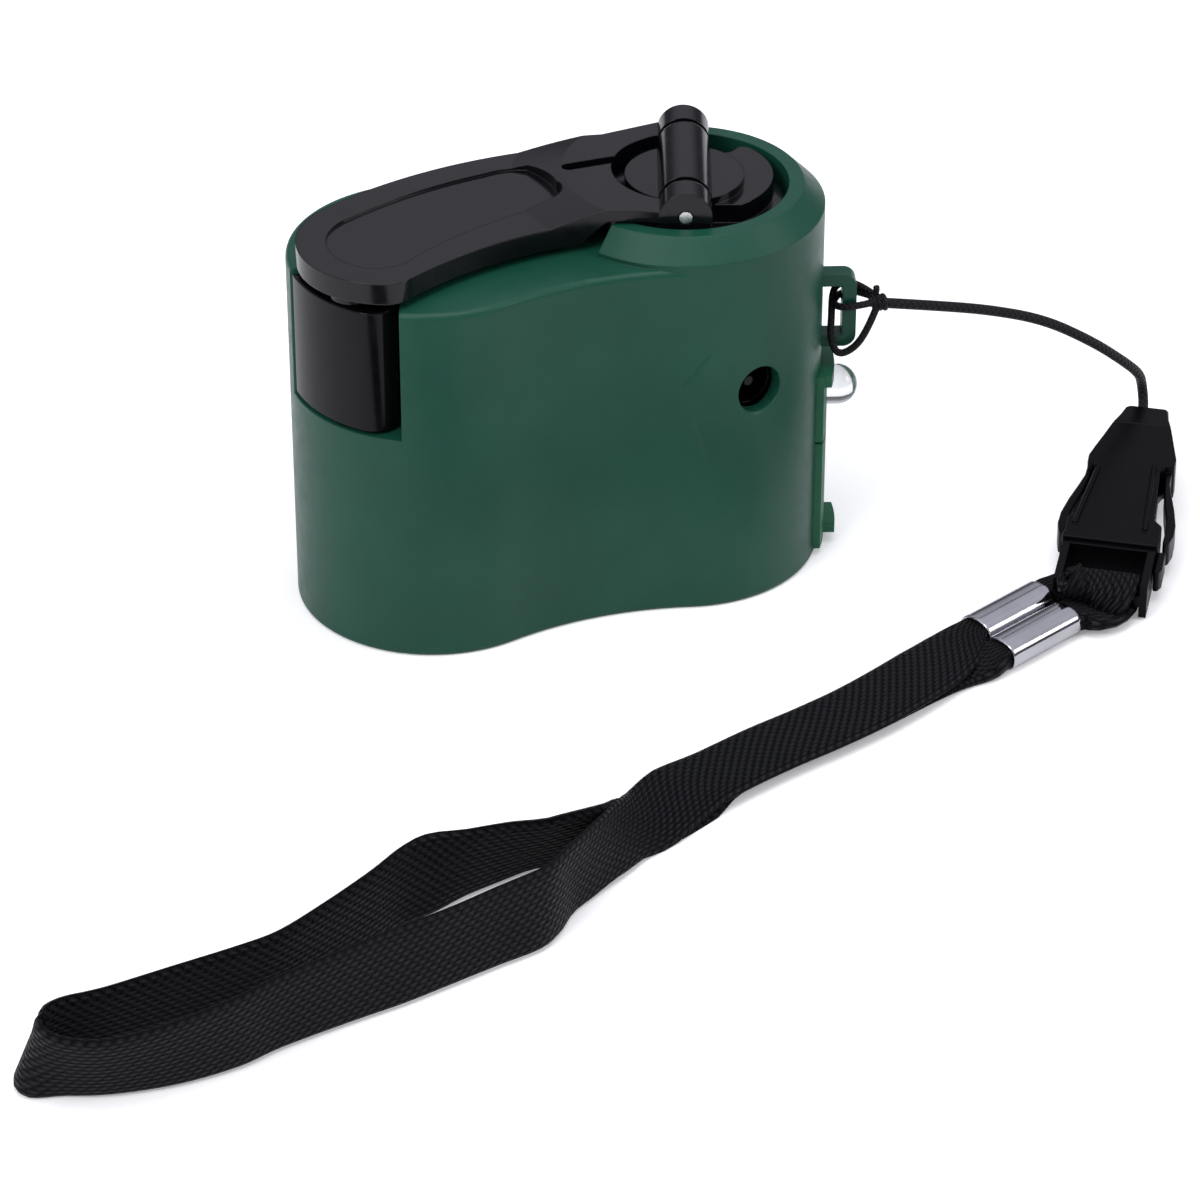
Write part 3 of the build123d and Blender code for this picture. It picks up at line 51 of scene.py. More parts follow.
class Shader:
    """A small helper to write a node tree in a few lines."""

    def __init__(self, name):
        self.material = bpy.data.materials.new(name)
        self.material.use_nodes = True
        self.tree = self.material.node_tree
        self.body = self.tree.nodes["Principled BSDF"]

    def add(self, kind, **values):
        node = self.tree.nodes.new(kind)
        for key, value in values.items():
            if hasattr(node, key) and key not in node.inputs:
                setattr(node, key, value)
            else:
                node.inputs[key].default_value = value
        return node

    def link(self, source, target):
        self.tree.links.new(source, target)

    def math(self, operation, first, second=None, third=None):
        node = self.tree.nodes.new("ShaderNodeMath")
        node.operation = operation
        for slot, value in zip(node.inputs, (first, second, third)):
            if value is None:
                continue
            if isinstance(value, (int, float)):
                slot.default_value = value
            else:
                self.link(value, slot)
        return node.outputs[0]

    def noise(self, scale, detail=3.0, rough=0.55):
        place = self.add("ShaderNodeTexCoord")
        node = self.add("ShaderNodeTexNoise")
        node.inputs["Scale"].default_value = scale
        node.inputs["Detail"].default_value = detail
        node.inputs["Roughness"].default_value = rough
        self.link(place.outputs["Object"], node.inputs["Vector"])
        return node.outputs["Fac"]

    def ramp(self, factor, low, high, start=0.3, end=0.7):
        node = self.tree.nodes.new("ShaderNodeValToRGB")
        node.color_ramp.elements[0].position = start
        node.color_ramp.elements[0].color = low
        node.color_ramp.elements[1].position = end
        node.color_ramp.elements[1].color = high
        self.link(factor, node.inputs["Fac"])
        return node.outputs["Color"]

    def span(self, factor, low, high, start=0.0, end=1.0):
        node = self.tree.nodes.new("ShaderNodeMapRange")
        node.inputs["From Min"].default_value = start
        node.inputs["From Max"].default_value = end
        node.inputs["To Min"].default_value = low
        node.inputs["To Max"].default_value = high
        self.link(factor, node.inputs["Value"])
        return node.outputs["Result"]

    def surface(self, height, strength, distance, edge=0.0, fold=None):
        """Bump from a height, over edges rounded in the shading, and a second one for a moulded fold."""
        bump = self.tree.nodes.new("ShaderNodeBump")
        bump.inputs["Strength"].default_value = strength
        bump.inputs["Distance"].default_value = distance
        self.link(height, bump.inputs["Height"])
        if edge:
            bevel = self.tree.nodes.new("ShaderNodeBevel")
            bevel.samples = 6
            bevel.inputs["Radius"].default_value = edge
            self.link(bevel.outputs["Normal"], bump.inputs["Normal"])
        if fold:
            second = self.tree.nodes.new("ShaderNodeBump")
            second.inputs["Strength"].default_value = 1.0
            second.inputs["Distance"].default_value = fold[1]
            self.link(fold[0], second.inputs["Height"])
            self.link(bump.outputs["Normal"], second.inputs["Normal"])
            bump = second
        self.link(bump.outputs["Normal"], self.body.inputs["Normal"])


CREASE_CORNER = (0.01024, 0.0314)  # x and z on the front wall, in metres
CREASE_ENDS = (((0.01394, 0.0362), 1), ((0.01379, 0.0185), -1))  # where each line ends, and its proud side
CREASE_STEP = 0.00022  # how far the mark stands proud, and half the width of its edge


def crease(m):
    """The faint folded mark on the front wall: the area right of two slanting lines stands proud."""
    place = m.add("ShaderNodeTexCoord")
    split = m.add("ShaderNodeSeparateXYZ")
    m.link(place.outputs["Object"], split.inputs["Vector"])
    x, y, z = split.outputs["X"], split.outputs["Y"], split.outputs["Z"]
    sides = []
    for end, sign in CREASE_ENDS:
        run = Vector((end[0] - CREASE_CORNER[0], end[1] - CREASE_CORNER[1])).normalized()
        first = m.math("MULTIPLY", m.math("SUBTRACT", x, CREASE_CORNER[0]), sign * run.y)
        second = m.math("MULTIPLY", m.math("SUBTRACT", z, CREASE_CORNER[1]), -sign * run.x)
        sides.append(m.math("ADD", first, second))
    inside = m.span(m.math("MINIMUM", sides[0], sides[1]), 0.0, 1.0, -CREASE_STEP, CREASE_STEP)
    low = m.span(z, 0.0, 1.0, 0.0185, 0.026)
    high = m.span(z, 1.0, 0.0, 0.0345, 0.0372)
    right = m.span(x, 1.0, 0.0, 0.0125, 0.0185)
    front = m.span(y, 1.0, 0.0, -0.011, -0.009)
    across = m.math("MULTIPLY", inside, right)
    upright = m.math("MULTIPLY", m.math("MULTIPLY", low, high), front)
    return m.math("MULTIPLY", across, upright)


def moulded(name, low, high, rough, grain, depth, edge, wear=0.06, specular=0.5, creased=False):
    """Injection moulded plastic: fine grain, faint flow marks and a little wear."""
    m = Shader(name)
    broad = m.noise(60, 4)
    fine = m.noise(grain, 2, 0.6)
    m.link(m.ramp(broad, low, high, 0.35, 0.68), m.body.inputs["Base Color"])
    m.link(m.span(m.noise(420, 5, 0.7), rough - wear, rough + wear, 0.3, 0.7), m.body.inputs["Roughness"])
    m.body.inputs["Specular IOR Level"].default_value = specular
    m.surface(fine, 0.35, depth, edge, (crease(m), CREASE_STEP) if creased else None)
    return m.material


def metal(name, tint, rough, brushed=0.0, edge=0.0001):
    m = Shader(name)
    m.body.inputs["Metallic"].default_value = 1.0
    streak = m.noise(900, 4, 0.6)
    low = tuple(v * 0.82 for v in tint[:3]) + (1.0,)
    m.link(m.ramp(m.noise(150, 4), low, tint, 0.3, 0.7), m.body.inputs["Base Color"])
    m.link(m.span(streak, rough * 0.7, rough * 1.4, 0.3, 0.7), m.body.inputs["Roughness"])
    m.surface(streak, 0.2 + brushed, 0.00001, edge)
    return m.material


green = moulded(
    "green_abs", colour(19, 67, 52), colour(24, 74, 58), 0.36, 5200, 0.000012, 0.00025,
    specular=0.24, creased=True,
)
green_soft = moulded(
    "green_cover", colour(20, 84, 57), colour(26, 93, 64), 0.48, 3000, 0.00002, 0.0002, specular=0.3
)
black_gloss = moulded(
    "black_gloss", colour(7, 7, 10), colour(11, 11, 16), 0.16, 900, 0.000006, 0.00022, 0.04, specular=0.34
)
black_grip = moulded(
    "black_grip", colour(7, 7, 9), colour(11, 11, 14), 0.15, 700, 0.000005, 0.0002, 0.05, specular=0.16
)
black_acetal = moulded(
    "black_acetal", colour(4, 4, 6), colour(8, 8, 11), 0.3, 3500, 0.000012, 0.0002, 0.05, specular=0.08
)
nylon = moulded("nylon", colour(206, 204, 194), colour(222, 220, 211), 0.45, 2500, 0.00001, 0.0001)
inner_black = moulded("inner_black", colour(22, 22, 23), colour(32, 32, 33), 0.5, 2500, 0.00001, 0.0001)
laminate = moulded("laminate", colour(18, 72, 34), colour(26, 92, 46), 0.35, 1800, 0.00001, 0.00005)
steel = metal("steel", (0.62, 0.61, 0.6, 1), 0.3)
pin_steel = metal("pin_steel", (0.8, 0.79, 0.77, 1), 0.28)
lamination = metal("lamination", (0.42, 0.42, 0.43, 1), 0.45)
copper = metal("copper", (0.72, 0.32, 0.16, 1), 0.34)
bronze = metal("bronze", (0.6, 0.4, 0.2, 1), 0.4)
ferrite = metal("ferrite", (0.09, 0.09, 0.1, 1), 0.55)
chrome = metal("chrome", (0.5, 0.5, 0.53, 1), 0.1, 0.0, 0.0001)


def clear_lens():
    m = Shader("clear_lens")
    m.body.inputs["Transmission Weight"].default_value = 1.0
    m.body.inputs["IOR"].default_value = 1.5
    tint = m.ramp(m.noise(300, 2), (0.93, 0.95, 0.97, 1), (1, 1, 1, 1))
    m.link(tint, m.body.inputs["Base Color"])
    m.link(m.span(m.noise(500, 3), 0.02, 0.07), m.body.inputs["Roughness"])
    return m.material


def woven(name):
    """Black tape: rows of slanted dashes across it, from its own length and width in mm. Its colour is painted
    shade where the weave is low and lighter on the crowns as painted light.
    """
    m = Shader(name)
    place = m.add("ShaderNodeTexCoord")
    split = m.add("ShaderNodeSeparateXYZ")
    m.link(place.outputs["UV"], split.inputs["Vector"])
    across, along = split.outputs["X"], split.outputs["Y"]
    row = m.math("MULTIPLY", across, 1 / 0.62)
    column = m.math("FLOOR", row)
    inside = m.math("FRACT", row)
    shift = m.math("FRACT", m.math("MULTIPLY", column, 0.5))
    lean = m.math("MULTIPLY", m.math("SUBTRACT", inside, 0.5), 0.22)
    step = m.math("ADD", m.math("MULTIPLY", along, 1 / 1.3), m.math("ADD", shift, lean))
    wave = m.math("SUBTRACT", m.math("MULTIPLY", m.math("FRACT", step), 2.0), 1.0)
    dash = m.math("SUBTRACT", 1.0, m.math("ABSOLUTE", wave))
    crown = m.math("SINE", m.math("MULTIPLY", inside, pi))
    height = m.math("POWER", m.math("MULTIPLY", dash, crown), 0.6)
    yarn = m.noise(2600, 3, 0.7)
    full = m.math("ADD", height, m.math("MULTIPLY", yarn, 0.18))
    # colour from the weave's height: painted shade in the gaps between dashes and between rows, lighter crowns
    # as painted light
    m.link(m.ramp(full, colour(1, 1, 2), colour(31, 30, 37), 0.4, 1.05), m.body.inputs["Base Color"])
    m.link(m.span(full, 0.62, 0.42), m.body.inputs["Roughness"])
    m.body.inputs["Sheen Weight"].default_value = 0.02
    m.body.inputs["Sheen Roughness"].default_value = 0.4
    m.body.inputs["Specular IOR Level"].default_value = 0.09
    m.surface(full, 1.0, 0.00035)
    return m.material


def braided(name, pitch, strands):
    """Black braid: two crossing sets of diagonals round a cord, from its own UV, with painted shade between
    the strands and lighter crowns as painted light.
    """
    m = Shader(name)
    place = m.add("ShaderNodeTexCoord")
    split = m.add("ShaderNodeSeparateXYZ")
    m.link(place.outputs["UV"], split.inputs["Vector"])
    around, along = split.outputs["X"], split.outputs["Y"]
    turns = m.math("MULTIPLY", around, strands)
    rise = m.math("MULTIPLY", along, 1 / pitch)
    one = m.math("ABSOLUTE", m.math("SINE", m.math("MULTIPLY", m.math("ADD", turns, rise), pi)))
    two = m.math("ABSOLUTE", m.math("SINE", m.math("MULTIPLY", m.math("SUBTRACT", turns, rise), pi)))
    height = m.math("POWER", m.math("MULTIPLY", one, two), 0.6)
    full = m.math("ADD", height, m.math("MULTIPLY", m.noise(3500, 2), 0.15))
    # colour from the braid's height: painted shade between the strands, lighter crowns as painted light
    m.link(m.ramp(full, colour(3, 3, 4), colour(22, 21, 25), 0.1, 1.0), m.body.inputs["Base Color"])
    m.link(m.span(full, 0.65, 0.45), m.body.inputs["Roughness"])
    m.body.inputs["Sheen Weight"].default_value = 0.02
    m.body.inputs["Specular IOR Level"].default_value = 0.16
    m.surface(full, 0.8, 0.00012)
    return m.material


lens = clear_lens()
tape = woven("woven_tape")
braid = braided("braided_cord", 0.9, 4)
thin_braid = braided("thin_braid", 0.6, 3)

looks = {
    "housing": green,
    "bottom_cover": green,
    "cover_screws": steel,
    "gear_plate": inner_black,
    "plate_screws": steel,
    "idler_axle": steel,
    "stator": lamination,
    "stator_coils": copper,
    "circuit_board": laminate,
    "board_parts": inner_black,
    "usb_shell": pin_steel,
    "usb_tongue": inner_black,
    "led_lamp": lens,
    "dc_jack": black_grip,
    "cover_strip": green_soft,
    "shaft_bush": bronze,
    "crank_hub": black_gloss,
    "crank_shaft": steel,
    "shaft_screw": steel,
    "drive_gear": nylon,
    "hinge_pin": pin_steel,
    "hinge_washers": black_acetal,
    "crank_arm": black_gloss,
    "grip_screw": steel,
    "idler_gear": nylon,
    "rotor_pinion": nylon,
    "rotor_shaft": steel,
    "rotor_magnet": ferrite,
    "port_cover": green_soft,
    "buckle_plug": black_acetal,
}
for name, material in looks.items():
    nodes[name].data.materials.clear()
    nodes[name].data.materials.append(material)


# ------------------------------------------------------------------ camera
camera_data = bpy.data.cameras.new("camera")
camera = bpy.data.objects.new("camera", camera_data)
scene.collection.objects.link(camera)
scene.camera = camera
camera_data.sensor_width = 36.0
camera_data.lens = 145.3
camera_data.clip_start = 0.02
target = Vector((0.00160, -0.01076, 0.0))
turn = radians(-19.494)
rise = radians(32.444)
distance = 0.5958
camera.location = target + distance * Vector((sin(turn) * cos(rise), -cos(turn) * cos(rise), sin(rise)))
camera.rotation_euler = (target - camera.location).to_track_quat("-Z", "Y").to_euler()


# ------------------------------------------------------------------ solids made here
buckle_along = Vector((0.53455, 0.83907, 0.10106))
buckle_side = Vector((-0.84339, 0.53730, 0.0))
buckle_up = buckle_along.cross(buckle_side)
buckle_foot = Vector((57.9, -34.5, 2.6367))


def on_buckle(along, side, up):
    return buckle_foot + along * buckle_along + side * buckle_side + up * buckle_up


HINGE_X = 16.15  # x of the frame's origin, in mm
HINGE_COS, HINGE_SIN = 0.94264, 0.33381  # how far the frame is turned


def on_hinge(side, back, height):
    """A point given in the hinge's own turned frame, in mm."""
    x = HINGE_X - HINGE_COS * side - HINGE_SIN * back
    return Vector((x, HINGE_SIN * side - HINGE_COS * back, height))


def prism(bm, points, low, high, place):
    """A closed solid over a flat outline, whose top may slope."""
    rows = []
    for level in (low, high):
        heights = [level(x) if callable(level) else level for x, y in points]
        rows.append([bm.verts.new(place(x, y, z) / 1000) for (x, y), z in zip(points, heights)])
    bottom, top = rows
    bm.faces.new(list(reversed(bottom)))
    bm.faces.new(top)
    for index in range(len(points)):
        after = (index + 1) % len(points)
        bm.faces.new((bottom[index], bottom[after], top[after], top[index]))


def finished(name, bm, material, body, node, edge, segments=3):
    bmesh.ops.recalc_face_normals(bm, faces=bm.faces)
    mesh = bpy.data.meshes.new(name)
    bm.to_mesh(mesh)
    bm.free()
    for polygon in mesh.polygons:
        polygon.use_smooth = True
    made = bpy.data.objects.new(name, mesh)
    made.data.materials.append(material)
    scene.collection.objects.link(made)
    rounding = made.modifiers.new("edge", "BEVEL")
    rounding.width = edge
    rounding.segments = segments
    rounding.limit_method = "ANGLE"
    rounding.angle_limit = radians(35)
    rounding.harden_normals = True
    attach(made, body)
    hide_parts(node)
    return made


def arc(centre, radius, start, end, count):
    angles = [radians(start + (end - start) * k / count) for k in range(count + 1)]
    return [(centre[0] + radius * cos(a), centre[1] + radius * sin(a)) for a in angles]


# the grip: its face follows the lobe, with a sharp left corner and a round one for the thumb.
# It has a recess for the screw's head but no hole for the axle, so grip_screw runs through it.
bm = bmesh.new()
grip_top, grip_end, screw_seat = 46.4, 30.4, 33.6
lobe_centre, lobe_radius = (30.447, 10.782), 16.85
thumb_centre, thumb_radius = (36.7, 23.14), 3.0
join_angle = 63.16  # where the lobe's arc runs into the thumb's
outline = arc(lobe_centre, lobe_radius, 19.1, join_angle, 24)
outline += arc(thumb_centre, thumb_radius, join_angle, 180, 14)[1:]
outline += [(33.7, 16.3)]
screw_recess = arc((38.799, 21.705), 2.9, 0, 345, 23)
rings = []
for points, height in (
    (outline, grip_top),
    (outline, grip_end),
    (screw_recess, grip_end),
    (screw_recess, screw_seat),
):
    rings.append([bm.verts.new(on_hinge(x, y, height) / 1000) for x, y in points])
for first, second in ((0, 1), (2, 3)):
    for index in range(len(rings[first])):
        after = (index + 1) % len(rings[first])
        bm.faces.new((rings[first][index], rings[first][after], rings[second][after], rings[second][index]))
bm.faces.new(rings[0])
bm.faces.new(rings[3])
edges = [bm.edges.get((ring[k], ring[(k + 1) % len(ring)])) for ring in rings[1:3] for k in range(len(ring))]
bmesh.ops.triangle_fill(bm, use_beauty=True, edges=edges)
finished("grip_moulding", bm, black_grip, "grip", "grip", 0.0004)

# the socket of the buckle: body with a sloping top end, ridges, collar with a lug, and two squeeze wings.
# It is closed inside, so the plug's frame and tongue sit in it. The CAD socket has the cavity.
bm = bmesh.new()
body_line = [
    (8.3, -5.85), (12.4, -5.85), (13.6, -4.75), (23.4, -4.1), (24.6, -4.5), (25.0, -5.75),
    (26.6, -5.75), (30.0, -4.95), (33.2, -4.2), (33.2, 3.2), (30.3, 3.95), (27.6, 4.7),
    (25.6, 5.2), (24.0, 5.15), (23.5, 3.9), (13.6, 4.8), (12.4, 5.85), (8.3, 5.85),
]
prism(bm, body_line, -2.6, 2.6, on_buckle)
nose_line = [
    (33.2, -4.2), (35.6, -3.6), (37.8, -3.3), (38.4, -2.9),
    (38.4, 1.7), (37.9, 2.2), (35.6, 2.6), (33.2, 3.2),
]
prism(bm, nose_line, lambda u: -2.6 + 0.16 * (u - 33.2), lambda u: 2.6 - 0.2 * (u - 33.2), on_buckle)
for points in (
    [(22.9, 3.25), (22.9, 3.95), (11.0, 5.15), (10.8, 4.45)],
    [(24.6, -3.55), (24.6, -2.95), (10.9, -3.55), (10.9, -4.25)],
):
    prism(bm, points, 2.0, 2.95, on_buckle)
prism(bm, [(7.9, -5.95), (9.1, -5.95), (9.1, 5.95), (7.9, 5.95)], -2.75, 2.8, on_buckle)
prism(bm, [(4.4, -5.9), (8.6, -5.9), (8.6, -6.9), (5.2, -6.9), (4.4, -6.5)], -1.6, 1.5, on_buckle)
wing = [
    (26.2, 5.0), (24.2, 5.3), (22.4, 5.35), (20.2, 5.85), (17.2, 6.6), (14.2, 7.15), (12.0, 7.2), (10.4, 6.85),
    (9.9, 6.3), (10.3, 6.02), (12.2, 6.05), (14.8, 5.9), (18.4, 5.2), (21.6, 4.75), (23.6, 4.6), (26.0, 4.2),
]
prism(bm, [(u, v - 0.15) for u, v in wing], -1.9, 1.7, on_buckle)
prism(bm, [(u, -v - 0.2) for u, v in reversed(wing)], -1.9, 1.7, on_buckle)
socket = finished("buckle_socket_shell", bm, black_acetal, "base", "buckle_socket", 0.0003)

# the crimped tubes: rolled from strip, with rounded sides, slightly turned-in ends and a seam
bm = bmesh.new()
crimp_side = Vector((0.39715, -0.91775, 0.0))
crimp_along = Vector((-0.91775, -0.39715, 0.0))
crimp_half = (2.5, 1.9)  # half the tube's width and height, in mm
crimp_power = 0.84  # under 1 squares its section off
seam, seam_sink = 9, 0.965
crimp_rows = (  # how far along the tube, and how far its wall stands in (-)
    (0.5, -0.34), (0.0, -0.3), (0.0, -0.06), (0.12, 0), (0.4, 0), (5.9, 0.0),
    (11.4, 0), (11.68, 0), (11.8, -0.06), (11.8, -0.3), (11.3, -0.34),
)
around = 48
for start in (Vector((51.8, -30.9, 1.9)), Vector((52.7, -36.3, 1.9))):
    rows = []
    for along, grow in crimp_rows:
        row = []
        for k in range(around):
            turn = 2 * pi * k / around + 0.065
            c, t = cos(turn), sin(turn)
            x = (crimp_half[0] + grow) * (abs(c) ** crimp_power) * (1 if c > 0 else -1)
            z = (crimp_half[1] + grow) * (abs(t) ** crimp_power) * (1 if t > 0 else -1)
            if k == seam and -0.05 <= grow <= 0.01:
                x, z = x * seam_sink, z * seam_sink
            row.append(bm.verts.new((start + along * crimp_along + x * crimp_side + Vector((0, 0, z))) / 1000))
        rows.append(row)
    for first, second in zip(rows, rows[1:]):
        for k in range(around):
            after = (k + 1) % around
            bm.faces.new((first[k], first[after], second[after], second[k]))
tubes = finished("crimp_sleeves", bm, chrome, "strap", "crimp_tubes", 0.00004, 1)


# ------------------------------------------------------------------ cord and its loops
def object_from(name, vertices, faces, uvs, material, smooth=True):
    mesh = bpy.data.meshes.new(name)
    mesh.from_pydata(vertices, [], faces)
    layer = mesh.uv_layers.new(name="UVMap")
    for polygon in mesh.polygons:
        polygon.use_smooth = smooth
        for corner, loop in enumerate(polygon.loop_indices):
            layer.data[loop].uv = uvs[polygon.index][corner]
    mesh.validate()
    mesh.update()
    made = bpy.data.objects.new(name, mesh)
    made.data.materials.append(material)
    scene.collection.objects.link(made)
    return made


def route(name, points):
    """Points along the smooth line of a route given by its control points, in mm."""
    curve = bpy.data.curves.new(name, "CURVE")
    curve.dimensions = "3D"
    spline = curve.splines.new("NURBS")
    spline.points.add(len(points) - 1)
    for place, point in zip(spline.points, points):
        place.co = (*[v / 1000 for v in point], 1)
    spline.order_u = 3
    spline.use_endpoint_u = True
    spline.resolution_u = 16
    holder = bpy.data.objects.new(name, curve)
    scene.collection.objects.link(holder)
    mesh = bpy.data.meshes.new_from_object(holder.evaluated_get(bpy.context.evaluated_depsgraph_get()))
    line = [v.co.copy() for v in mesh.vertices]
    bpy.data.meshes.remove(mesh)
    bpy.data.objects.remove(holder)
    bpy.data.curves.remove(curve)
    return line


def tube(line, radius, sides=14):
    """Vertices, faces and UVs of a round tube along a line, UVs in turns and mm."""
    vertices, faces, uvs = [], [], []
    side = None
    along = 0.0
    lengths = []
    for index, point in enumerate(line):
        ahead = (line[min(index + 1, len(line) - 1)] - line[max(index - 1, 0)]).normalized()
        if side is None:
            side = ahead.orthogonal().normalized()
        side = (side - side.dot(ahead) * ahead).normalized()
        other = ahead.cross(side)
        if index:
            along += (point - line[index - 1]).length
        lengths.append(along * 1000)
        for corner in range(sides):
            angle = 2 * pi * corner / sides
            vertices.append(point + radius * (cos(angle) * side + sin(angle) * other))
    for index in range(len(line) - 1):
        for corner in range(sides):
            after = (corner + 1) % sides
            faces.append((
                index * sides + corner,
                index * sides + after,
                (index + 1) * sides + after,
                (index + 1) * sides + corner,
            ))
            uvs.append((
                (corner / sides, lengths[index]),
                ((corner + 1) / sides, lengths[index]),
                ((corner + 1) / sides, lengths[index + 1]),
                (corner / sides, lengths[index + 1]),
            ))
    for ring, flip in ((0, True), (len(line) - 1, False)):
        cap = [ring * sides + corner for corner in range(sides)]
        faces.append(tuple(reversed(cap)) if flip else tuple(cap))
        uvs.append([(0, lengths[ring])] * sides)
    return vertices, faces, uvs


def joined(name, parts, material):
    vertices, faces, uvs = [], [], []
    for part_vertices, part_faces, part_uvs in parts:
        start = len(vertices)
        vertices += part_vertices
        faces += [tuple(start + v for v in face) for face in part_faces]
        uvs += part_uvs
    return object_from(name, vertices, faces, uvs, material)


cord_points = [
    (38.7, -7.1, 33.0),
    (46.4, -6.8, 31.0),
    (54.6, -5.7, 28.3),
    (62.6, -4.7, 24.9),
    (69.8, -4.0, 20.0),
    (75.0, -2.4, 15.4),
    (78.3, -0.6, 12.0),
    (79.6, 1.0, 9.4),
    (79.3, -0.6, 6.9),
    (77.3, -3.9, 6.3),
    (76.3, -5.6, 6.1),
]
cord_line = route("cord_route", cord_points)
cord = joined("lanyard_cord_braid", [tube(cord_line, 0.00065)], braid)
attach(cord, "base")
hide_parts("lanyard_cord")

end_x, end_y, hub_x = cos(radians(-17)), sin(radians(-17)), 16.15


def end_point(out, across, height):
    return (hub_x + out * end_x - across * end_y, out * end_y + across * end_x, height)


upper_loop = [
    (23.7, -0.3, 33.2),
    (21.5, -1.8, 33.5),
    (19.2, -1.9, 33.3),
    (18.2, 0.0, 32.9),
    (19.2, 1.9, 33.3),
    (21.5, 1.8, 33.7),
    (23.7, 0.3, 33.3),
]
lower_loop = [
    (23.7, -0.6, 32.7),
    (22.6, -1.8, 30.4),
    (21.0, -2.3, 27.9),
    (18.8, -2.4, 26.9),
    (17.9, -2.3, 29.4),
    (18.1, -1.0, 31.6),
    (18.3, 0.9, 34.4),
    (19.6, 1.9, 34.9),
    (21.7, 1.8, 34.5),
    (23.7, 0.4, 33.5),
]
loops = [
    tube(route("loop", [end_point(*p) for p in points]), 0.00045, 10) for points in (upper_loop, lower_loop)
]
# the knot: three turns of the thin cord round the joined strands, and a short tail
turns = []
for step in range(37):
    angle = 2 * pi * step / 12
    out = 23.1 + 1.8 * step / 36
    turns.append(end_point(out, -0.1 + 0.72 * cos(angle), 33.0 + 0.72 * sin(angle)))
tail = [end_point(23.4, 0.1, 33.6), end_point(23.7, 0.2, 34.3), end_point(23.6, 0.1, 35.0)]
core = [end_point(22.9, -0.1, 33.0), end_point(24.0, -0.12, 33.05), end_point(24.9, -0.15, 33.0)]
loops.append(tube(route("turns", turns), 0.0004, 10))
loops.append(tube(route("tail", tail), 0.0004, 10))
loops.append(tube(route("core", core), 0.0006, 12))
knot = joined("cord_knot_loops", loops, thin_braid)
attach(knot, "base")
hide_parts("cord_knot")


# ------------------------------------------------------------------ webbing
def strip(back_edge, front_edge, thick=1.1):
    """A station across the tape from its two edges, in mm."""
    back_edge, front_edge = Vector(back_edge), Vector(front_edge)
    across = back_edge - front_edge
    return ((back_edge + front_edge) / 2, across.normalized(), across.length, thick)


def in_tube(x, y, width=4.0, thick=2.6):
    return (Vector((x, y, 1.9)), -crimp_side, width, thick)


def on_floor(x, y, z, heading, width=9.4, thick=1.1):
    turn = radians(heading)
    return (Vector((x, y, z)), Vector((sin(turn), -cos(turn), 0)), width, thick)


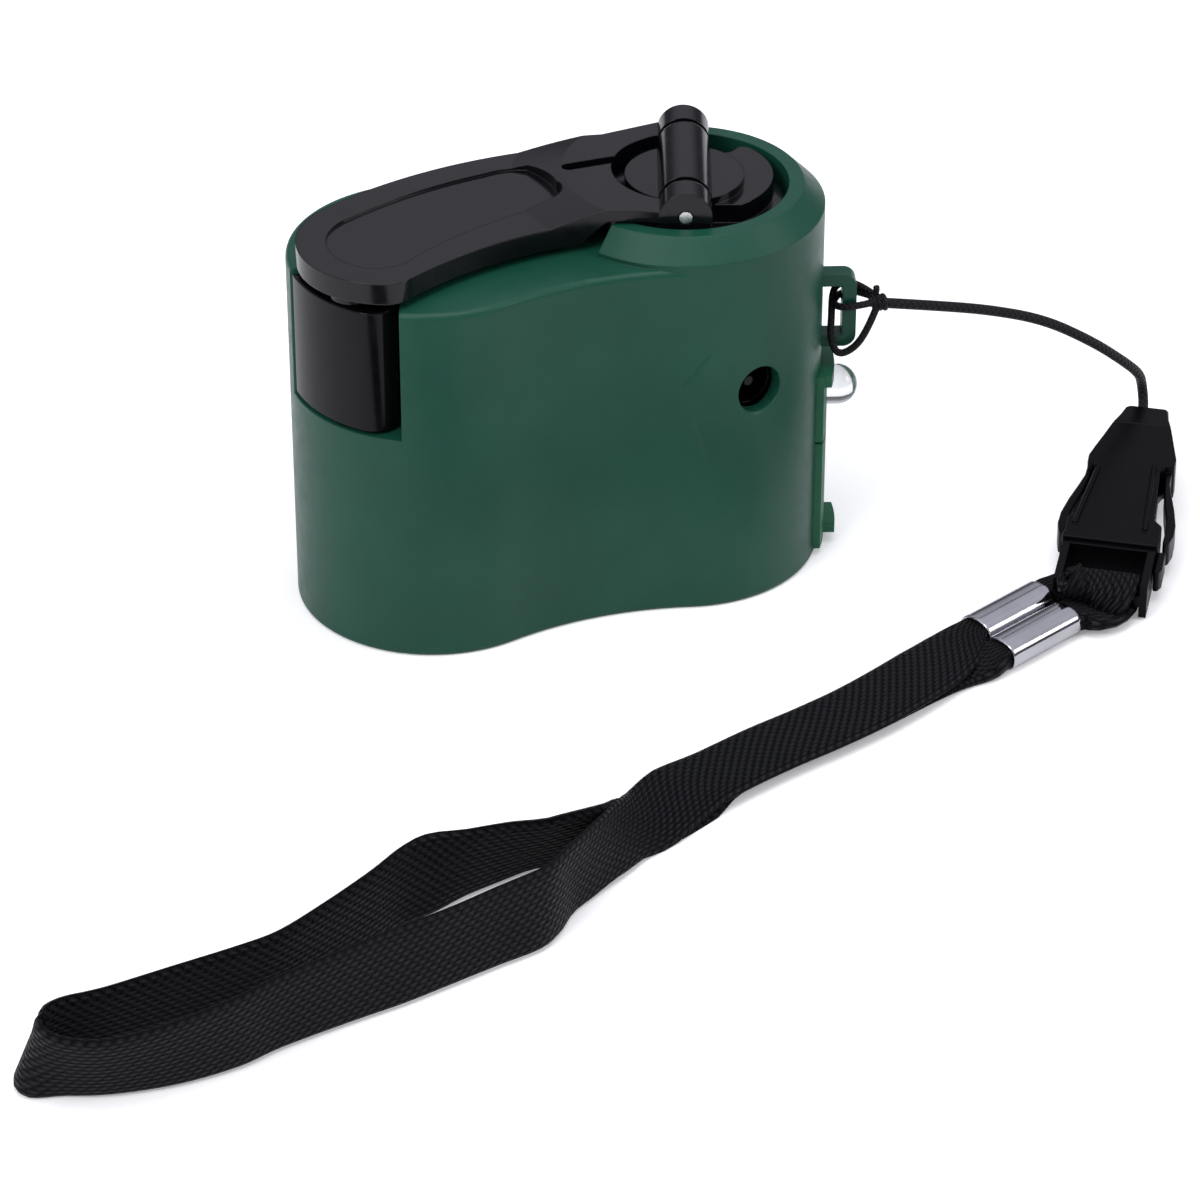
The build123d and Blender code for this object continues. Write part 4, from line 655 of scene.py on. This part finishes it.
# from the rear tube: the upper strand, the loop's front side, its turn, its rear side, and the lower strand
strap_stations = [
    in_tube(51.8, -30.9),
    in_tube(46.3, -33.3),
    in_tube(41.0, -35.6, 4.1, 2.5),
    on_floor(39.2, -36.7, 1.95, 207, 5.8, 1.8),
    on_floor(36.4, -38.8, 1.9, 209, 8.0, 1.3),
    on_floor(32.4, -41.2, 1.85, 205, 9.2),
    on_floor(23.2, -45.6, 1.8, 201),
    on_floor(15.8, -48.3, 1.8, 200),
    on_floor(8.6, -50.5, 1.8, 199),
    on_floor(1.4, -53.1, 1.8, 201),
    strip((-2.6, -50.9, 2.3), (-5.6, -60.0, 1.5)),
    strip((-9.4, -55.5, 3.2), (-9.6, -63.6, 0.9)),
    strip((-13.6, -60.0, 5.8), (-12.6, -64.9, 0.6)),
    strip((-18.0, -65.6, 8.0), (-15.6, -66.4, 0.5)),
    strip((-21.6, -69.6, 8.9), (-18.9, -68.2, 0.4)),
    strip((-24.6, -72.9, 9.7), (-22.4, -70.4, 0.3)),
    strip((-27.0, -75.0, 10.1), (-25.6, -74.2, 0.3)),
    strip((-29.6, -75.8, 10.2), (-28.5, -76.6, 0.3)),
    strip((-33.6, -76.9, 10.2), (-33.6, -77.9, 0.3)),
    strip((-39.8, -79.0, 10.3), (-40.2, -79.6, 0.3)),
    strip((-45.9, -80.3, 10.2), (-46.4, -81.2, 0.3)),
    strip((-52.1, -82.2, 10.3), (-52.4, -82.3, 0.3)),
    strip((-60.6, -84.6, 10.3), (-60.8, -84.1, 0.3)),
    strip((-65.6, -86.6, 10.3), (-65.7, -85.7, 0.3)),
    strip((-71.4, -88.0, 10.1), (-71.4, -86.4, 0.3)),
    strip((-76.5, -88.7, 9.9), (-76.5, -86.2, 0.3)),
    strip((-81.2, -88.5, 9.7), (-81.3, -85.3, 0.3)),
    strip((-84.4, -86.9, 9.7), (-85.4, -83.6, 0.3)),
    strip((-85.7, -84.9, 9.9), (-88.3, -82.3, 0.3)),
    strip((-85.9, -83.1, 10.0), (-89.0, -80.9, 0.3)),
    strip((-84.9, -81.5, 10.1), (-88.0, -79.6, 0.3)),
    strip((-82.7, -80.6, 10.2), (-84.6, -79.0, 0.3)),
    strip((-78.6, -80.4, 10.2), (-79.4, -79.0, 0.3)),
    strip((-70.6, -79.1, 10.2), (-70.9, -78.4, 0.3)),
    strip((-63.1, -77.9, 10.2), (-63.4, -77.6, 0.3)),
    strip((-58.2, -76.7, 10.2), (-58.4, -76.5, 0.3)),
    strip((-52.2, -73.5, 10.2), (-52.4, -73.7, 0.3)),
    strip((-45.8, -69.7, 10.3), (-46.2, -70.2, 0.3)),
    strip((-41.2, -66.4, 10.2), (-42.2, -67.6, 0.3)),
    strip((-37.6, -64.6, 10.0), (-38.2, -66.4, 0.3)),
    strip((-33.6, -65.3, 9.9), (-32.9, -64.2, 0.3)),
    strip((-28.4, -65.3, 9.3), (-26.0, -62.2, 0.3)),
    strip((-23.6, -65.2, 8.9), (-21.3, -61.6, 0.3)),
    strip((-17.2, -62.6, 7.4), (-16.2, -61.2, 0.3)),
    strip((-12.9, -58.6, 4.8), (-12.4, -62.6, 0.3)),
    strip((-9.3, -55.0, 2.2), (-9.2, -62.9, 0.3)),
    strip((-2.2, -51.1, 0.9), (-5.2, -59.9, 0.5)),
    on_floor(1.1, -52.3, 0.65, 201, 8.8),
    on_floor(8.2, -49.6, 0.65, 199, 8.6),
    on_floor(15.4, -47.4, 0.65, 200, 8.6),
    on_floor(22.8, -44.9, 0.65, 201, 8.6),
    on_floor(31.6, -41.6, 0.65, 203, 8.4),
    on_floor(36.7, -40.6, 0.8, 201, 7.6, 1.3),
    on_floor(39.9, -41.2, 1.4, 201, 6.0, 1.8),
    in_tube(41.9, -41.0, 4.1, 2.5),
    in_tube(47.2, -38.7),
    in_tube(52.7, -36.3),
]


def wrap(along, side, up, width, thick=1.1, turn=None):
    direction = (turn or buckle_side).normalized()
    return (on_buckle(along, side, up), direction, width, thick)


between = (buckle_side - crimp_side).normalized()
strap_stations += [
    (Vector((54.6, -35.6, 1.6)), between, 6.2, 2.0),
    wrap(-1.8, 0.4, -1.0, 8.2, 1.3, buckle_side + between),
    wrap(0.4, 0.0, -1.5, 9.2),
    wrap(2.6, 0.0, -1.4, 9.3),
    wrap(3.8, 0.0, -0.1, 9.3),
    wrap(2.9, 0.0, 1.4, 9.3),
    wrap(0.8, 0.1, 1.6, 9.3),
    wrap(-1.2, 0.8, 1.1, 8.8, 1.1, buckle_side + between),
    (Vector((55.0, -32.0, 2.5)), between, 6.8, 1.6),
    (Vector((53.2, -30.6, 2.0)), -crimp_side, 4.7, 2.3),
    in_tube(51.8, -30.9),
    in_tube(49.8, -31.8),
]


def tape_mesh(name, stations, material, fine=1.2):
    """A thick tape through stations, smooth between them, with UVs in mm."""
    centres = [s[0] for s in stations]
    sides = [stations[0][1]]
    for s in stations[1:]:
        sides.append(s[1] if s[1].dot(sides[-1]) > 0 else -s[1])
    count = len(stations)

    def spline(values, index, t):
        a = values[max(index - 1, 0)]
        b = values[index]
        c = values[index + 1]
        d = values[min(index + 2, count - 1)]
        return 0.5 * (
            (2 * b) + (c - a) * t + (2 * a - 5 * b + 4 * c - d) * t * t + (3 * b - a - 3 * c + d) * t**3
        )

    widths = [s[2] for s in stations]
    thicks = [s[3] for s in stations]
    rings, along = [], 0.0
    last = None
    for index in range(count - 1):
        steps = max(3, int((centres[index + 1] - centres[index]).length / fine))
        for k in range(steps + (index == count - 2)):
            t = k / steps
            point = spline(centres, index, t)
            side = spline(sides, index, t).normalized()
            width = widths[index] * (1 - t) + widths[index + 1] * t
            thick = thicks[index] * (1 - t) + thicks[index + 1] * t
            if last is not None:
                along += (point - last).length
            last = point
            rings.append([point, side, width, thick, along])
    floor_gap = 0.05  # keeps the tape off the floor, in mm
    vertices, faces, uvs = [], [], []
    profile = [
        (-0.5, 0.0), (-0.47, 0.36), (-0.4, 0.5), (-0.2, 0.5),
        (0, 0.5), (0.2, 0.5), (0.4, 0.5), (0.47, 0.36),
    ]
    profile += [(-x, -y) for x, y in profile]
    n = len(profile)
    for index, (point, side, width, thick, length) in enumerate(rings):
        ahead = rings[min(index + 1, len(rings) - 1)][0] - rings[max(index - 1, 0)][0]
        side = (side - side.dot(ahead.normalized()) * ahead.normalized()).normalized()
        normal = ahead.normalized().cross(side)
        for x, y in profile:
            place = point + side * x * width + normal * y * thick
            place.z = max(place.z, floor_gap)
            vertices.append(place / 1000)
    for index in range(len(rings) - 1):
        here, beyond = index * n, (index + 1) * n
        for corner in range(n):
            after = (corner + 1) % n
            faces.append((here + corner, here + after, beyond + after, beyond + corner))
            x0, x1 = profile[corner][0] * 10, profile[after][0] * 10
            y0, y1 = rings[index][4], rings[index + 1][4]
            uvs.append(((x0, y0), (x1, y0), (x1, y1), (x0, y1)))
    faces.append(tuple(reversed(range(n))))
    uvs.append([(0, 0)] * n)
    faces.append(tuple((len(rings) - 1) * n + corner for corner in range(n)))
    uvs.append([(0, rings[-1][4])] * n)
    return object_from(name, vertices, faces, uvs, material), rings[-1][4]


strap, strap_length = tape_mesh("wrist_webbing", strap_stations, tape)
print("webbing length", strap_length)
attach(strap, "strap")
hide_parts("webbing")


# ------------------------------------------------------------------ room
FLOOR_TONE = 0.92
FLOOR_LIFT = 0.22  # light the floor gives off, seen by the camera only
SKY_LOW = (0.08, 0.08, 0.085, 1)
SKY_HIGH = (0.96, 0.97, 1.05, 1)
SKY_STOPS = ((0.22, 0.12), (0.42, 0.5), (0.6, 0.6))  # place on the ramp, and brightness there
SKY_BLUE = 1.12

floor_mesh = bpy.data.meshes.new("floor")
floor_mesh.from_pydata([(-3, -3, 0), (3, -3, 0), (3, 3, 0), (-3, 3, 0)], [], [(0, 1, 2, 3)])
floor = bpy.data.objects.new("floor", floor_mesh)
scene.collection.objects.link(floor)
floor_material = bpy.data.materials.new("floor")
floor_material.use_nodes = True
floor_tree = floor_material.node_tree
floor_body = floor_tree.nodes["Principled BSDF"]
floor_body.inputs["Base Color"].default_value = (FLOOR_TONE, FLOOR_TONE, FLOOR_TONE, 1)
floor_body.inputs["Roughness"].default_value = 0.9
floor_body.inputs["Specular IOR Level"].default_value = 0.1
seen = floor_tree.nodes.new("ShaderNodeLightPath")
lift = floor_tree.nodes.new("ShaderNodeMath")
lift.operation = "MULTIPLY"
lift.inputs[1].default_value = FLOOR_LIFT
floor_tree.links.new(seen.outputs["Is Camera Ray"], lift.inputs[0])
floor_tree.links.new(lift.outputs[0], floor_body.inputs["Emission Strength"])
floor_body.inputs["Emission Color"].default_value = (1, 1, 1, 1)
floor.data.materials.append(floor_material)

world = bpy.data.worlds.new("world")
scene.world = world
world.use_nodes = True
background = world.node_tree.nodes["Background"]
place = world.node_tree.nodes.new("ShaderNodeTexCoord")
split = world.node_tree.nodes.new("ShaderNodeSeparateXYZ")
sky = world.node_tree.nodes.new("ShaderNodeValToRGB")
sky.color_ramp.elements[0].position = 0.0
sky.color_ramp.elements[0].color = SKY_LOW
sky.color_ramp.elements[1].position = 1.0
sky.color_ramp.elements[1].color = SKY_HIGH
for height, level in SKY_STOPS:
    sky.color_ramp.elements.new(height).color = (level, level, level * SKY_BLUE, 1)
world.node_tree.links.new(place.outputs["Generated"], split.inputs["Vector"])
world.node_tree.links.new(split.outputs["Z"], sky.inputs["Fac"])
world.node_tree.links.new(sky.outputs["Color"], background.inputs["Color"])
background.inputs["Strength"].default_value = 1.0


def lamp(name, place, aim, size, power):
    data = bpy.data.lights.new(name, "AREA")
    data.energy = power
    data.size = size
    made = bpy.data.objects.new(name, data)
    made.location = place
    made.rotation_euler = (Vector(aim) - Vector(place)).to_track_quat("-Z", "Y").to_euler()
    scene.collection.objects.link(made)


lamp("key", (-0.75, -0.45, 0.75), (0, -0.02, 0.02), 0.45, 5.0)
lamp("fill", (0.9, -0.5, 0.6), (0, 0, 0.02), 0.45, 3.0)
lamp("top", (0.0, -0.1, 1.1), (0, -0.02, 0.0), 0.7, 3.5)

scene.view_settings.view_transform = "Standard"
